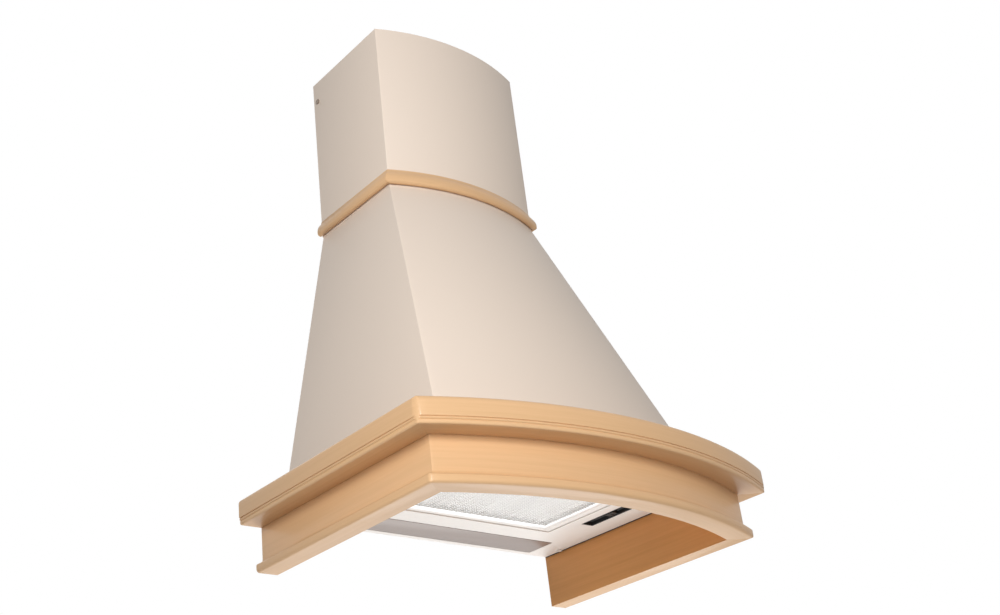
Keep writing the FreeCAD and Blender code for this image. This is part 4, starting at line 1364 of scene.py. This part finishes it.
# Injection-moulded polypropylene: a waxy mid grey with a fine grain.
GREY_PLASTIC = Finish("grey_moulded_polypropylene", "#9A9D9F", 0.5, grit_mm=0.8, grit_depth=0.02)
# Sprayed enamel on the motor's cast body: dark grey with a slightly rough skin.
MOTOR_PAINT = Finish("dark_grey_motor_enamel", "#4A4D50", 0.5, grit_mm=1.0, grit_depth=0.03)
# Smooth moulded case of the capacitor: plain white with a soft gloss.
WHITE_CASE = Finish("white_moulded_capacitor_case", "#E4E3DE", 0.4)
# Frosted acrylic with the lamps off: a warm grey strip with a fine frost.
LENS = Finish("frosted_grey_acrylic", "#96867E", 0.35, grit_mm=0.8, grit_depth=0.02)
# Glass frosted from inside: milky, with some light passing through.
BULB = Finish("frosted_bulb_glass", "#F4F0E4", 0.3, transmission=0.4)
# Glazed porcelain of the lamp holders: white with a sharp gloss.
PORCELAIN = Finish("glazed_white_porcelain", "#EDEBE6", 0.15)
# Matt painted studio floor: a pale plain ground.
STUDIO_FLOOR = Finish("white_studio_floor", "#E6E4E1", 0.9)

FINISH_NODES: dict[Finish, tuple[str, ...]] = {
    CREAM: ("canopy_shell", "canopy_top_plate", "chimney_cover"),
    TRAY_COAT_PAINTED_LIGHT: ("tray", "panel_screws"),
    ZINC: ("wall_plate", "chimney_bracket", "motor_box", "lamp_housing", "motor_bracket"),
    ALUMINIUM: ("filter_frame", "filter_grid", "filter_mesh"), BRONZE_SCREW: ("chimney_screws",),
    STEEL_SCREW: ("filter_pins", "filter_hinge_ears", "flap_spindle", "motor_shaft"),
    BLACK_PLASTIC: ("control_bezel", "speed_slider", "light_slider", "switch_box"),
    GREY_PLASTIC: ("outlet_collar", "flap_back", "flap_front", "scroll_left", "scroll_right",
                   "impeller", "terminal_box", "terminal_lid", "filter_latch"),
    MOTOR_PAINT: ("fan_motor",), WHITE_CASE: ("capacitor",), LENS: ("lamp_lens",),
    BULB: ("lamp_bulbs",), PORCELAIN: ("lamp_holders",),
}


def dress_nodes(nodes: dict[str, Piece], wood: Material) -> dict[Finish, Material]:
    """Gives every CAD node the material of the real piece; the rest are wood.

    Args:
        nodes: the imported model's nodes by name.
        wood: the material of the wooden ones.

    Returns:
        The materials by finish.
    """
    for node in nodes.values():
        dress(node, wood)
    made = {finish: finish.build() for finish in FINISH_NODES}
    for finish, names in FINISH_NODES.items():
        for name in names:
            dress(nodes[name], made[finish])
    return made


def main() -> None:
    """Loads the frame, builds every sub-assembly and reports it."""
    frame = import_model()
    # inner is the beech with painted shade for the boards' inner faces
    straight, bent, inner = [wood.build() for wood in (SIDE_BEECH, BENT_BEECH, SHADED_INNER_BEECH)]
    nodes = frame["nodes"]
    made = dress_nodes(nodes, straight)
    Studio().build()
    pieces = [
        *WoodenFrame(straight, bent, inner).build(), *Band(straight, bent).build(),
        *Canopy(made[CREAM]).build(), *ChimneyCover(made[CREAM]).build(),
        *GreaseFilter(made[ALUMINIUM], EXPANDED_SHEET.build(), made[GREY_PLASTIC]).build(nodes),
        *Underside(made[TRAY_COAT_PAINTED_LIGHT], made[LENS], made[BLACK_PLASTIC]).build(nodes),
        *FanHousing(made[ZINC], made[GREY_PLASTIC]).build(nodes),
    ]
    for piece in pieces:
        LOG.info("%s: %d faces", piece.name, len(piece.data.polygons))


if __name__ == "__main__":
    logging.basicConfig(level=logging.INFO, format="%(message)s")
    main()
